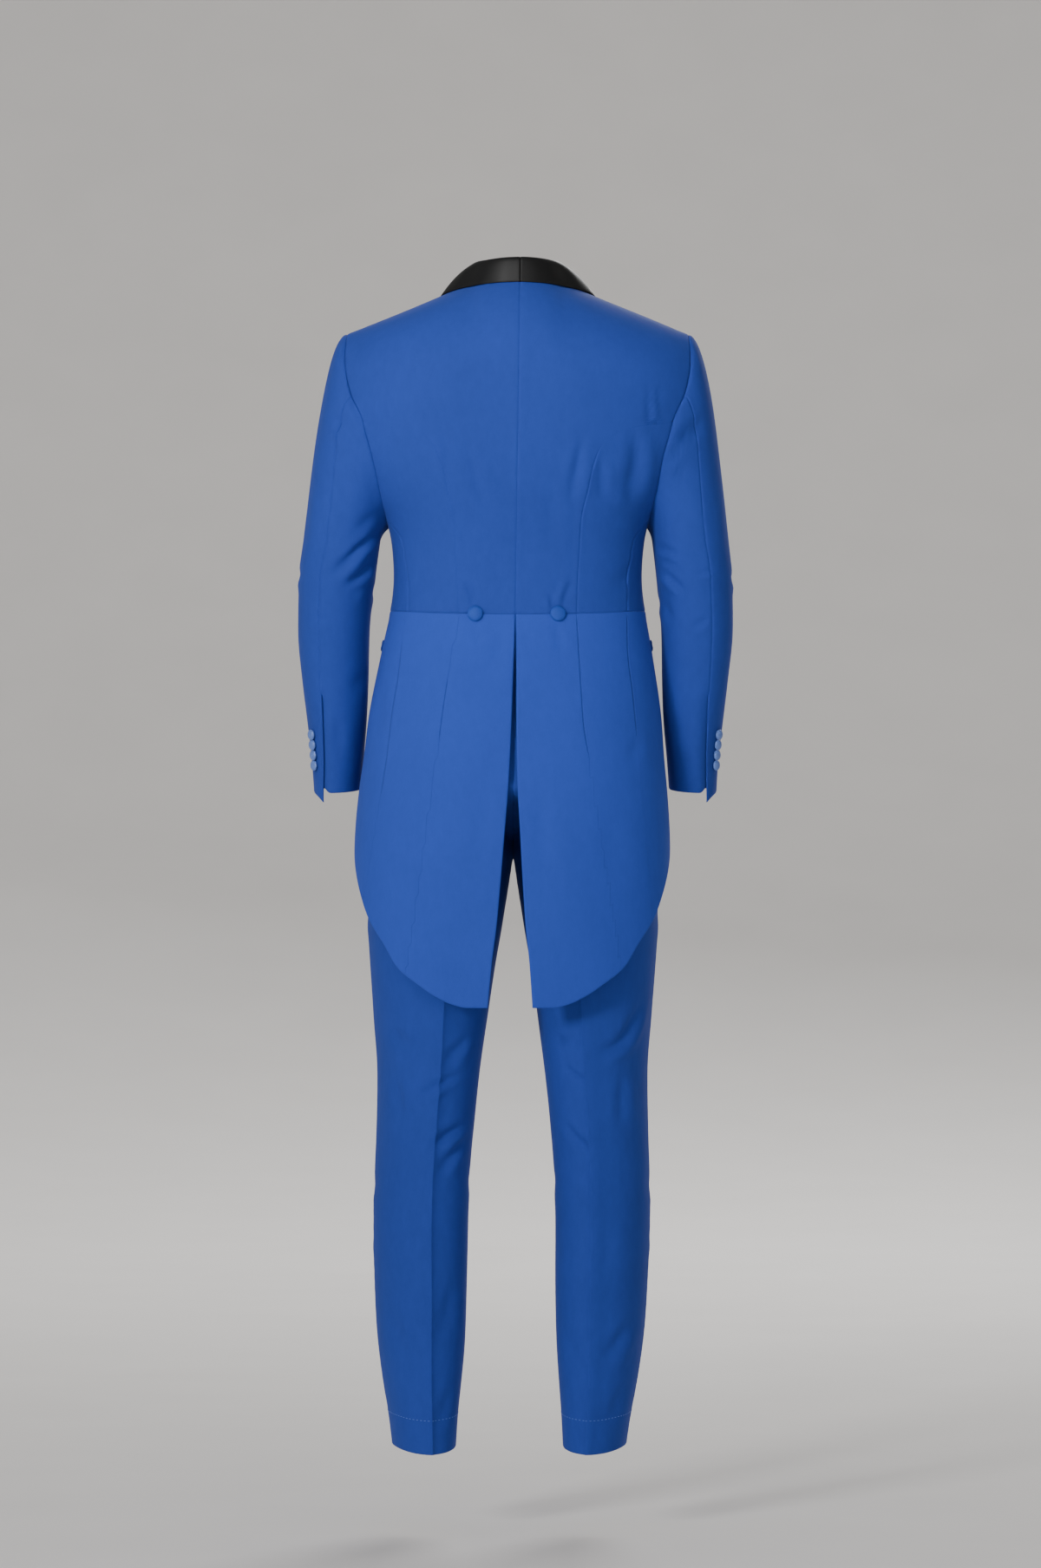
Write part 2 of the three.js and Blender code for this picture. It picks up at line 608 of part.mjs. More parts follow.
// The armhole's edge at an angle round the sleeve, moved out of the sleeve's face by lift
function armholeEdge(side, theta, lift) {
  const angle = radians(theta);
  const middle = 0.5 * (ARMHOLE_TOP_Z + ARMHOLE_LOW_Z);
  const half = 0.5 * (ARMHOLE_TOP_Z - ARMHOLE_LOW_Z);
  const z = middle + half * Math.cos(angle);
  const mark = Math.sin(angle) >= 0 ? backArmhole(z) : frontArmhole(z);
  const point = bodyPoint(1, mark.phi, z);
  const depth = Math.sin(angle) / HALF_ARMHOLE_DEPTH;
  const across = new THREE.Vector3(0, depth, Math.cos(angle) / half).normalize();
  point.addScaledVector(across, lift);
  point.x += SEAM + CAP_GAP * (1 - Math.cos(angle)) + ARMHOLE_EASE * Math.sin(angle) ** 2;
  point.x += UNDERARM_GAP * ease(-Math.cos(angle));
  return point;
}

// A ring of the sleeve at a height below the bicep
function sleeveRing(side, theta, z, lift) {
  const outer = read(SLEEVE, 'z', 'outer', z);
  const inner = read(SLEEVE, 'z', 'inner', z);
  const wide = 0.5 * (outer - inner) + lift;
  const deep = read(SLEEVE, 'z', 'deep', z) + lift;
  const x = 0.5 * (outer + inner) + wide * bulge(Math.cos(radians(theta)), SLEEVE_ROUNDNESS);
  const y = read(SLEEVE, 'z', 'y', z) + deep * bulge(Math.sin(radians(theta)), SLEEVE_ROUNDNESS);
  return new THREE.Vector3(x + side * read(SLEEVE, 'z', 'drift', z), y, z);
}

// The sleeve at an angle and a share of its length, from the armhole over the cap and down to the cuff
function sleevePoint(side, theta, share, lift, tip = 0) {
  let point;
  if (share < CAP_SHARE) {
    const t = share / CAP_SHARE;
    const from = armholeEdge(side, theta, lift);
    const to = sleeveRing(side, theta, BICEP_Z, lift);
    const far = from.distanceTo(to);
    const t2 = t * t;
    const t3 = t2 * t;
    const leave = new THREE.Vector3(CAP_LEAVE * far, 0, 0).multiplyScalar(t3 - 2 * t2 + t);
    const arrive = new THREE.Vector3(CAP_ARRIVE.out, 0, -CAP_ARRIVE.down).multiplyScalar(far * (t3 - t2));
    point = from.multiplyScalar(2 * t3 - 3 * t2 + 1).addScaledVector(to, 3 * t2 - 2 * t3);
    point.add(leave).add(arrive);
  } else {
    const fall = (share - CAP_SHARE) / (1 - CAP_SHARE);
    const tilt = CUFF_TILT * Math.cos(radians(theta - CUFF_TILT_THETA));
    point = sleeveRing(side, theta, mix(BICEP_Z, CUFF_Z - tilt - tip, fall), lift);
  }
  point.x *= side;
  return point;
}

function sleeveHeight(share) {
  return mix(BICEP_Z, CUFF_Z, clamp((share - CAP_SHARE) / (1 - CAP_SHARE), 0, 1));
}

const hindSeam = (share) => read(SLEEVE, 'z', 'hind', sleeveHeight(share));

function buildSleeve(side) {
  const gap = SLEEVE_SEAM_THETA;
  const topFace = (lift) => (u, v) => {
    const open = CUFF_VENT.theta * ease((v - CUFF_VENT.from) / CUFF_VENT.over);
    const theta = mix(FORE_SEAM_THETA + gap, hindSeam(v) - gap - open, u);
    return sleevePoint(side, theta, v, lift, CUFF_TIP_DROP * u ** CUFF_TIP_POWER);
  };
  const underFace = (lift) => (u, v) => {
    const theta = mix(hindSeam(v) + gap, FORE_SEAM_THETA + 360 - gap, u);
    return sleevePoint(side, theta, v, lift);
  };
  const name = sideName(side);
  addPiece(`top_sleeve_${name}`, 'wool', wallGeometry(13, 14, topFace(0), topFace(-CLOTH)));
  addPiece(`under_sleeve_${name}`, 'wool', wallGeometry(9, 14, underFace(0), underFace(-CLOTH)));
}

// A domed button turned to face along a direction, its flat back at a point
function buildButton(name, cloth, size, point, direction) {
  const radius = 0.5 * size.across;
  const rim = BUTTON_RIM * size.thick;
  const foot = new THREE.Vector2(radius * BUTTON_FOOT, 0);
  const profile = [new THREE.Vector2(0, 0), foot, new THREE.Vector2(radius, rim)];
  const domeSteps = 3;
  for (let k = 1; k <= domeSteps; k += 1) {
    const angle = 0.5 * Math.PI * k / domeSteps;
    const reach = k === domeSteps ? 0 : radius * Math.cos(angle);
    profile.push(new THREE.Vector2(reach, rim + (size.thick - rim) * Math.sin(angle)));
  }
  const geometry = new THREE.LatheGeometry(profile, BUTTON_SIDES);
  const mesh = addPiece(name, cloth, geometry);
  mesh.quaternion.setFromUnitVectors(new THREE.Vector3(0, 1, 0), direction);
  mesh.position.copy(point);
}

// Outward direction of a face at a place, from its neighbours on each side
function outward(face, u, v, step) {
  const du = face(u + step, v).sub(face(u - step, v));
  const dv = face(u, v + step).sub(face(u, v - step));
  return du.cross(dv).normalize();
}

function buildCoatButtons(side) {
  const name = sideName(side);
  const { z } = WAIST_BUTTON;
  const phi = angleOf(WAIST_BUTTON.x + side * WAIST_BUTTON_SHIFT, z, true);
  const face = (a, b) => bodyPoint(side, a, b);
  const facing = outward(face, phi, z, 2).multiplyScalar(-side);
  const seat = face(phi, z).addScaledVector(facing, SEAM + BUTTON_SPACE.waist);
  buildButton(`back_waist_button_${name}`, 'coveredButton', WAIST_BUTTON, seat, facing);
  for (let k = 0; k < 4; k += 1) {
    const height = CUFF_BUTTON.topZ - k * CUFF_BUTTON.pitch;
    const ring = (theta, level) => sleeveRing(side, theta, level, 0);
    const out = outward(ring, CUFF_BUTTON.theta, height, 2);
    const place = ring(CUFF_BUTTON.theta, height).addScaledVector(out, SEAM + BUTTON_SPACE.cuff);
    out.x *= side;
    place.x *= side;
    buildButton(`cuff_button_${name}_${k + 1}`, 'satinButton', CUFF_BUTTON, place, out);
  }
}

function buildFrontButton() {
  const phi = angleOf(FRONT_BUTTON.x, FRONT_BUTTON.z, false);
  const place = bodyPoint(1, phi, FRONT_BUTTON.z, SEAM + BUTTON_SPACE.front);
  buildButton('front_button', 'coveredButton', FRONT_BUTTON, place, new THREE.Vector3(0, -1, 0));
}

function buildHipWelt(side) {
  const face = (lift) => (u, v) => {
    const phi = mix(HIP_WELT.backPhi, HIP_WELT.frontPhi, u);
    const z = HIP_WELT.topZ - HIP_WELT.slope * u - HIP_WELT.high * v;
    return bodyPoint(side, phi, z, lift);
  };
  const name = `hip_welt_${sideName(side)}`;
  const low = SEAM + WELT_SPACE;
  addPiece(name, 'wool', wallGeometry(10, 2, face(low + HIP_WELT.proud), face(low)));
}

// A point of the trousers over the hips
function hipPoint(side, phi, z, lift) {
  const sine = Math.sin(radians(phi));
  const cosine = Math.cos(radians(phi));
  const column = cosine >= 0 ? 'back' : 'front';
  const x = (read(HIPS, 'z', 'half', z) + lift) * bulge(sine, ROUNDNESS);
  const y = RIDGE_Y + (read(HIPS, 'z', column, z) + lift) * bulge(cosine, ROUNDNESS);
  return new THREE.Vector3(Math.max(x, halfSeam), y, z);
}

// A point of one trouser leg; theta runs from the outer side over the front or the back to the inner side
function legPoint(theta, z, rear, lift) {
  const outer = read(LEG, 'z', 'outer', z);
  const inner = read(LEG, 'z', 'inner', z);
  const grown = 0.5 * (outer - inner) + lift;
  const offset = Math.abs(theta - 90) / CREASE_WIDTH;
  const below = ease((FORK_Z - z) / LEG_BLEND);
  const ridge = CREASE_RIDGE * below * Math.exp(-offset * offset);
  const deep = read(LEG, 'z', rear ? 'back' : 'front', z) + lift + ridge;
  const out = deep * bulge(Math.sin(radians(theta)), LEG_ROUNDNESS);
  const turn = (rear ? -1 : 1) * TOE_OUT * out * below;
  const x = 0.5 * (outer + inner) + grown * bulge(Math.cos(radians(theta)), LEG_ROUNDNESS) + turn;
  return new THREE.Vector3(x, read(LEG, 'z', 'y', z) + (rear ? out : -out), z);
}

// A point of a trouser panel: the leg below the fork, the hips above it
function trouserPoint(side, rear, u, z, lift) {
  const theta = mix(SIDE_THETA, 180 - SIDE_THETA, u);
  const phi = rear ? mix(90 - SIDE_PHI, 0, u) : mix(90 + SIDE_PHI, 180, u);
  const share = ease((z - FORK_Z) / FORK_BLEND);
  const point = legPoint(theta, Math.min(z, FORK_Z), rear, lift);
  point.z = z;
  const hip = hipPoint(side, phi, Math.max(z, FORK_Z), lift);
  hip.z = z;
  point.lerp(hip, share);
  if (z >= FORK_Z) point.x = Math.max(point.x, halfSeam);
  point.x = side * point.x + read(TROUSER_DRIFT, 'z', 'x', z);
  return point;
}

function buildTrousers(side) {
  const name = sideName(side);
  const topZ = BAND_LOW_Z - halfSeam;
  const heightAt = (v) => (v < 0.5 ? mix(HEM_Z, THIGH_Z, 2 * v) : mix(THIGH_Z, topZ, 2 * v - 1));
  [true, false].forEach((rear) => {
    const face = (lift) => (u, v) => trouserPoint(side, rear, u, heightAt(v), lift);
    const label = rear ? 'leg_back' : 'leg_front';
    addPiece(`${label}_${name}`, 'wool', wallGeometry(10, 18, face(0), face(-CLOTH)));
  });
  const band = (lift) => (u, v) => {
    const z = mix(BAND_LOW_Z + halfSeam, BAND_TOP_Z, v);
    const point = hipPoint(side, mix(0, 180, u), z, lift);
    point.x = side * point.x + read(TROUSER_DRIFT, 'z', 'x', z);
    return point;
  };
  addPiece(`waistband_${name}`, 'wool', wallGeometry(18, 2, band(BAND_OUT), band(BAND_IN)));
}

function buildFly() {
  const face = (lift) => (u, v) => {
    const z = mix(BAND_LOW_Z - 1, FLY_LOW_Z, v);
    const turn = clamp((v - FLY_ROUND.from) / (1 - FLY_ROUND.from), 0, 1);
    const width = FLY_WIDTH * Math.sqrt(1 - FLY_ROUND.share * turn ** 2);
    const half = read(HIPS, 'z', 'half', z);
    const share = clamp((halfSeam + 1 + u * width) / half, 0, 1);
    const phi = 180 - degrees(Math.asin(share ** (1 / ROUNDNESS)));
    const point = hipPoint(1, phi, z, lift);
    point.x += read(TROUSER_DRIFT, 'z', 'x', z);
    return point;
  };
  const low = SEAM + FLY_GAP;
  addPiece('fly_front', 'wool', wallGeometry(5, 10, face(low + FLY_THICK), face(low)));
}

function sideName(side) {
  return side > 0 ? 'left' : 'right';
}

[1, -1].forEach((side) => {
  buildBack(side);
  buildSideBody(side);
  buildFront(side);
  buildSkirt(side);
  buildShawl(side);
  buildSleeve(side);
  buildCoatButtons(side);
  buildHipWelt(side);
  buildTrousers(side);
});
buildFrontButton();
buildFly();

export default suit;
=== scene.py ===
"""A worn evening suit, seen from behind: a blue tailcoat with a black satin shawl collar, and trousers.

Every panel is a fine cloth shell on the form of its plain solid, with its own seams, creases and finish.
Lengths in the tables are millimetres in the frame of the model; meshes are made in metres.
"""
import logging
import math
from dataclasses import dataclass, field
from enum import Enum
from typing import Callable, Optional, Sequence

import bpy
import mathutils
import numpy as np
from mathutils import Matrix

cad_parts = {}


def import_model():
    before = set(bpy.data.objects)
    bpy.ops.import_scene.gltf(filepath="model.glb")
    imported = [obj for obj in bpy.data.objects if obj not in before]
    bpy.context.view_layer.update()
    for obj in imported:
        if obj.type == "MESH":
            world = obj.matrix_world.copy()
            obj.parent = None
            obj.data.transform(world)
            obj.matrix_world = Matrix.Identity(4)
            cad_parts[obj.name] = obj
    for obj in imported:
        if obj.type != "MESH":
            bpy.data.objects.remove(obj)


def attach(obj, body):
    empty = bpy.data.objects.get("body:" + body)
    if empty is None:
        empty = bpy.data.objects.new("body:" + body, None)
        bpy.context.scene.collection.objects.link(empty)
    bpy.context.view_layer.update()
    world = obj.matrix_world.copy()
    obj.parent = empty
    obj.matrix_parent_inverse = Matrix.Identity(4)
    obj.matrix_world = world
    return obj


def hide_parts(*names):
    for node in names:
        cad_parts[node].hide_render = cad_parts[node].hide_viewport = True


LOG = logging.getLogger("evening_suit")
# Metres in a millimetre, the unit of the tables
MM = 0.001
# Flat cloth against finished cloth: what pressing and ease take up
PRESS_EASE = 1.02
# Distance in millimetres past which no seam is drawn
FAR = 30.0

Array = np.ndarray
Face = Callable[[Array, Array], Array]


# Reading tables


def ease(share: Array) -> Array:
    """Smooth step from 0 to 1."""
    held = np.clip(share, 0.0, 1.0)
    return held * held * (3.0 - 2.0 * held)


def bulge(value: Array, power: float) -> Array:
    """A power that keeps the sign, for rounded box sections."""
    return np.sign(value) * np.abs(value) ** power


def bell(distance: Array, width: float) -> Array:
    """A soft bump, 1 at no distance."""
    return np.exp(-((distance / width) ** 2))


def hermite(first: Array, leave: Array, second: Array, arrive: Array, t: Array) -> Array:
    """Returns a cubic between two values with a slope at each, at shares t."""
    return (
        first * (2 * t**3 - 3 * t**2 + 1)
        + leave * (t**3 - 2 * t**2 + t)
        + second * (3 * t**2 - 2 * t**3)
        + arrive * (t**3 - t**2)
    )


class Profile:
    """Named columns along one key, read on a smooth curve that never overshoots."""

    def __init__(self, names: str, rows: Sequence[tuple[float, ...]], soften: float = 0.0) -> None:
        """Read a table.

        Args:
            names: the key's name, then the columns'.
            rows: one tuple of values for each key.
            soften: length along the key that the columns are blurred over.
        """
        table = np.array(sorted(rows), dtype=float)
        columns = names.split()
        self.keys = np.linspace(table[0, 0], table[-1, 0], 1200)
        self.values: dict[str, Array] = {}
        for index, name in enumerate(columns[1:], start=1):
            self.values[name] = self._curve(table[:, 0], table[:, index], soften)

    def _curve(self, at: Array, value: Array, soften: float) -> Array:
        """Fill one column between its points.

        Args:
            at: keys of its points.
            value: values at them.
            soften: length of the blur.

        Returns:
            The column's value at each dense key.
        """
        gap = np.diff(value) / np.diff(at)
        slope = np.empty_like(value)
        slope[0], slope[-1] = gap[0], gap[-1]
        before, after = gap[:-1], gap[1:]
        total = np.where(np.abs(before + after) < 1e-9, 1.0, before + after)
        slope[1:-1] = np.where(before * after <= 0, 0.0, 2 * before * after / total)
        index = np.clip(np.searchsorted(at, self.keys, side="right") - 1, 0, len(at) - 2)
        span = np.diff(at)[index]
        t = (self.keys - at[index]) / span
        dense = hermite(value[index], slope[index] * span, value[index + 1], slope[index + 1] * span, t)
        if soften <= 0:
            return dense
        step = self.keys[1] - self.keys[0]
        reach = int(math.ceil(3 * soften / step))
        weights = bell(np.arange(-reach, reach + 1) * step, soften * math.sqrt(2))
        padded = np.concatenate(
            [2 * dense[0] - dense[reach:0:-1], dense, 2 * dense[-1] - dense[-2 : -reach - 2 : -1]]
        )
        return np.convolve(padded, weights / weights.sum(), mode="valid")

    def read(self, column: str, at: Array) -> Array:
        """Returns the column's value at each key, held at its ends."""
        return np.interp(at, self.keys, self.values[column])


class Edge:
    """A smooth edge through marks, read by its share of length."""

    def __init__(self, marks: Sequence[tuple[float, float]], stretch: float = 3.0) -> None:
        """Draw the edge.

        Args:
            marks: angle and height of each place that it runs through.
            stretch: weight of the angle in its length.
        """
        self.stretch = stretch
        points = np.array([(phi * stretch, z) for phi, z in marks], dtype=float)
        first = 2 * points[0] - points[1]
        last = 2 * points[-1] - points[-2]
        padded = np.vstack([first, points, last])
        pieces = [self._segment(padded[k : k + 4]) for k in range(len(points) - 1)]
        self.line = np.vstack([*pieces, points[-1:]])
        step = np.linalg.norm(np.diff(self.line, axis=0), axis=1)
        self.length = np.concatenate([[0.0], np.cumsum(step)])

    @staticmethod
    def _segment(four: Array) -> Array:
        """Returns forty points of a centripetal curve between the middle two of four points."""
        gaps = [max(np.linalg.norm(four[k + 1] - four[k]) ** 0.5, 1e-4) for k in range(3)]
        before, middle, after = gaps
        start = (four[1] - four[0]) / before - (four[2] - four[0]) / (before + middle)
        start = (start + (four[2] - four[1]) / middle) * middle
        end = (four[2] - four[1]) / middle - (four[3] - four[1]) / (middle + after)
        end = (end + (four[3] - four[2]) / after) * middle
        t = np.linspace(0, 1, 40, endpoint=False)[:, None]
        return hermite(four[1], start, four[2], end, t)

    def __call__(self, t: Array) -> Array:
        """Returns angle and height at each share of the length."""
        at = np.clip(t, 0, 1) * self.length[-1]
        phi = np.interp(at, self.length, self.line[:, 0]) / self.stretch
        return np.stack([phi, np.interp(at, self.length, self.line[:, 1])], axis=-1)


EdgeLike = Callable[[Array], Array]


def joined(first: EdgeLike, second: EdgeLike, meet: float) -> EdgeLike:
    """Returns two edges run together, the first up to the share where they meet."""

    def read(t: Array) -> Array:
        """Returns angle and height at each share of the whole."""
        low = first(np.clip(t / meet, 0, 1))
        high = second(np.clip((t - meet) / (1 - meet), 0, 1))
        return np.where((t < meet)[..., None], low, high)

    return read


# Form of the garments


class Side(Enum):
    """The garment's own left and right."""

    LEFT = 1
    RIGHT = -1

    @property
    def word(self) -> str:
        """The side's word in a piece's name."""
        return self.name.lower()


@dataclass(frozen=True)
class CoatForm:
    """The coat's body: sizes and the smooth surface that its panels lie on."""

    seam: float = 0.3
    neck_side_x: float = 63.5
    shoulder_tip_x: float = 220.0
    waist_z: float = -418.0
    waist_rise_at_side: float = 6.0
    ridge_y: float = -5.0
    roundness: float = 0.87
    neck_reach: float = 58.0
    ridge_top: float = 33.0
    ridge_curve: float = 0.0064
    ridge_side: float = 11.5
    shoulder_slope: float = 0.41
    round_at_neck: float = 112.0
    round_loss: float = 42.0
    overlap_x: float = 14.0
    roll_end_z: float = -384.0
    skirt_front_phi: float = 176.5
    princess_top_z: float = -172.0
    side_seam_top_z: float = -294.0
    armhole_top_z: float = -55.0
    armhole_low_z: float = -305.0
    under_lap_depth: float = 5.2
    body: Profile = Profile(
        "z half back front",
        [
            (-930, 204, 150, 142), (-720, 204, 147, 142), (-690, 203, 146.5, 141),
            (-640, 199, 145, 140), (-600, 194, 143, 138), (-550, 189, 138, 137),
            (-517, 184, 132.5, 136), (-483, 178, 126, 134), (-450, 172, 118, 132),
            (-416, 165, 111, 132), (-370, 160, 108, 137), (-335, 162, 111, 142),
            (-300, 168, 117, 145), (-260, 194, 123, 145), (-206, 227, 129, 137),
            (-160, 239, 131, 126), (-110, 241, 129, 112), (-60, 240, 123, 99),
            (0, 240, 114, 86), (40, 240, 108, 76),
        ],
        soften=9.0,
    )
    armhole: Profile = Profile(
        "z back front",
        [
            (-305, 94, 94), (-298, 84, 101), (-285, 76, 107), (-265, 66, 113),
            (-228, 56.5, 124), (-206, 54.2, 128), (-172, 54.6, 129.5), (-134, 61.3, 126.5),
            (-109, 64.4, 123), (-86, 65.9, 118.5), (-55, 64.8, 115.2),
        ],
    )
    drift: Profile = Profile("z x", [(-930, 10), (-640, 6), (-418, 0)])

    def angle_of(self, x: Array, z: Array, rear: bool) -> Array:
        """Returns the angle round the section of a point seen from behind at x."""
        share = np.clip(np.asarray(x, float) / self.body.read("half", z), -1, 1)
        angle = np.degrees(np.arcsin(bulge(share, 1 / self.roundness)))
        return angle if rear else 180.0 - angle

    def ridge_height(self, x: Array) -> Array:
        """Returns the height of the shoulder ridge at a distance from the centre line."""
        reach = np.abs(x)
        near = self.ridge_top - self.ridge_curve * reach**2
        far = self.ridge_side - self.shoulder_slope * (reach - self.neck_reach)
        return np.where(reach < self.neck_reach, near, far)

    def under_lap(self, side: Side, x: Array, z: Array) -> Array:
        """Returns how far the right front lies under the left one."""
        if side is Side.LEFT:
            return np.zeros_like(x)
        return self.under_lap_depth * ease((60 - x) / 46) * ease((-225 - z) / 85)

    def point(self, side: Side, phi: Array, z: Array, lift: float | Array = 0.0) -> Array:
        """Find places on the body.

        Args:
            side: the half of the body.
            phi: angle from the centre back, in degrees.
            z: height.
            lift: distance out from the surface.

        Returns:
            The points.
        """
        phi, z = np.broadcast_arrays(np.asarray(phi, float), np.asarray(z, float))
        sine, cosine = np.sin(np.radians(phi)), np.cos(np.radians(phi))
        rear = cosine >= 0
        x = (self.body.read("half", z) + lift) * bulge(sine, self.roundness)
        along = np.clip((np.abs(x) - self.neck_reach) / (self.shoulder_tip_x - self.neck_reach), 0, 1)
        round_over = self.round_at_neck - self.round_loss * along
        drop = np.clip((self.ridge_height(x) - z) / round_over, 0, 1)
        cap = np.sqrt(1 - (1 - drop) ** 2)
        reach = np.where(rear, self.body.read("back", z), self.body.read("front", z)) + lift
        reach = reach - np.where(rear, 0.0, self.under_lap(side, x, z))
        out = reach * bulge(np.abs(cosine), self.roundness) * cap + 0.5 * self.seam * (1 - cap)
        y = self.ridge_y + np.where(rear, out, -out)
        return np.stack([side.value * x + self.drift.read("x", z), y, z + lift * (1 - cap)], -1)

    def waist_line(self, phi: Array) -> Array:
        """Returns the height of the waist seam round the body."""
        return self.waist_z + self.waist_rise_at_side * np.sin(np.radians(phi)) ** 2

    def shoulder(self, t: Array, rear: bool) -> Array:
        """Returns angle and height along the shoulder seam from neck to tip."""
        x = self.neck_side_x + (self.shoulder_tip_x - self.neck_side_x) * np.asarray(t, float)
        z = self.ridge_height(x)
        return np.stack([self.angle_of(x, z, rear), z], -1)


@dataclass(frozen=True)
class TrouserForm:
    """The trousers: sizes and the surface that their panels lie on."""

    seam: float = 0.3
    ridge_y: float = -5.0
    hip_roundness: float = 0.87
    leg_roundness: float = 0.93
    band_top_z: float = -398.0
    band_low_z: float = -436.0
    fork_z: float = -726.0
    fork_blend: float = 90.0
    hem_z: float = -1488.0
    hem_stitch_z: float = -1439.0
    crease_ridge: float = 3.5
    crease_width: float = 9.0
    toe_out: float = 0.12
    hips: Profile = Profile(
        "z half back front",
        [
            (-726, 191, 126, 116), (-640, 193, 141.5, 124), (-600, 190, 140.4, 127),
            (-560, 185, 136, 126), (-500, 174.5, 125, 124), (-436, 162, 111, 121),
            (-398, 157.5, 105, 121),
        ],
        soften=6.0,
    )
    leg: Profile = Profile(
        "z outer inner back front y",
        [
            (-1488, 150.5, 70, 66, 72, -4), (-1443, 156.5, 67.5, 68, 71, -4),
            (-1410, 163, 64.4, 70, 70, -4), (-1342, 171.9, 59.3, 76, 68, -4),
            (-1275, 175.8, 57.8, 80, 67, -5), (-1208, 178.5, 57.1, 80, 69, -6),
            (-1140, 176.9, 55.5, 78, 75, -7), (-1073, 174.8, 50, 80, 81, -7),
            (-1006, 173.5, 43, 86, 88, -6), (-939, 178.6, 34, 93, 97, -5),
            (-870, 183.5, 24, 101, 104, -5), (-800, 187.5, 12, 110, 109, -5),
            (-726, 190.5, 0.15, 122, 113, -5),
        ],
        soften=12.0,
    )
    drift: Profile = Profile(
        "z x", [(-1488, 11), (-1208, 8), (-1006, 7), (-640, 5.5), (-418, 0)], soften=20.0
    )

    def hip_point(self, phi: Array, z: Array, lift: float | Array) -> Array:
        """Returns points over the hips, on the left side of the body."""
        sine, cosine = np.sin(np.radians(phi)), np.cos(np.radians(phi))
        reach = np.where(cosine >= 0, self.hips.read("back", z), self.hips.read("front", z))
        x = (self.hips.read("half", z) + lift) * bulge(sine, self.hip_roundness)
        y = self.ridge_y + (reach + lift) * bulge(cosine, self.hip_roundness)
        return np.stack([np.maximum(x, 0.5 * self.seam), y, z + 0 * x], -1)

    def leg_point(self, theta: Array, z: Array, rear: bool, lift: float | Array) -> Array:
        """Returns points round one leg; theta runs from its outer side to its inner side."""
        outer, inner = self.leg.read("outer", z), self.leg.read("inner", z)
        below = ease((self.fork_z - z) / 120)
        ridge = self.crease_ridge * below * bell(np.abs(theta - 90), self.crease_width)
        deep = self.leg.read("back" if rear else "front", z) + lift + ridge
        out = deep * bulge(np.sin(np.radians(theta)), self.leg_roundness)
        turn = (-1 if rear else 1) * self.toe_out * out * below
        wide = 0.5 * (outer - inner) + lift
        x = 0.5 * (outer + inner) + wide * bulge(np.cos(np.radians(theta)), self.leg_roundness) + turn
        y = self.leg.read("y", z) + (out if rear else -out)
        return np.stack([x, y, z + 0 * x], -1)

    def panel_point(self, side: Side, rear: bool, u: Array, z: Array, lift: float = 0.0) -> Array:
        """Returns points of a leg panel: the leg below the fork, the hips above it."""
        u, z = np.broadcast_arrays(np.asarray(u, float), np.asarray(z, float))
        theta = 0.15 + 179.7 * u
        phi = 89.9 - 89.9 * u if rear else 90.1 + 89.9 * u
        share = ease((z - self.fork_z) / self.fork_blend)[..., None]
        leg = self.leg_point(theta, np.minimum(z, self.fork_z), rear, lift)
        hip = self.hip_point(phi, np.maximum(z, self.fork_z), lift)
        point = leg * (1 - share) + hip * share
        point[..., 2] = z
        held = np.maximum(point[..., 0], 0.5 * self.seam)
        point[..., 0] = np.where(z >= self.fork_z, held, point[..., 0])
        point[..., 0] = side.value * point[..., 0] + self.drift.read("x", z)
        return point


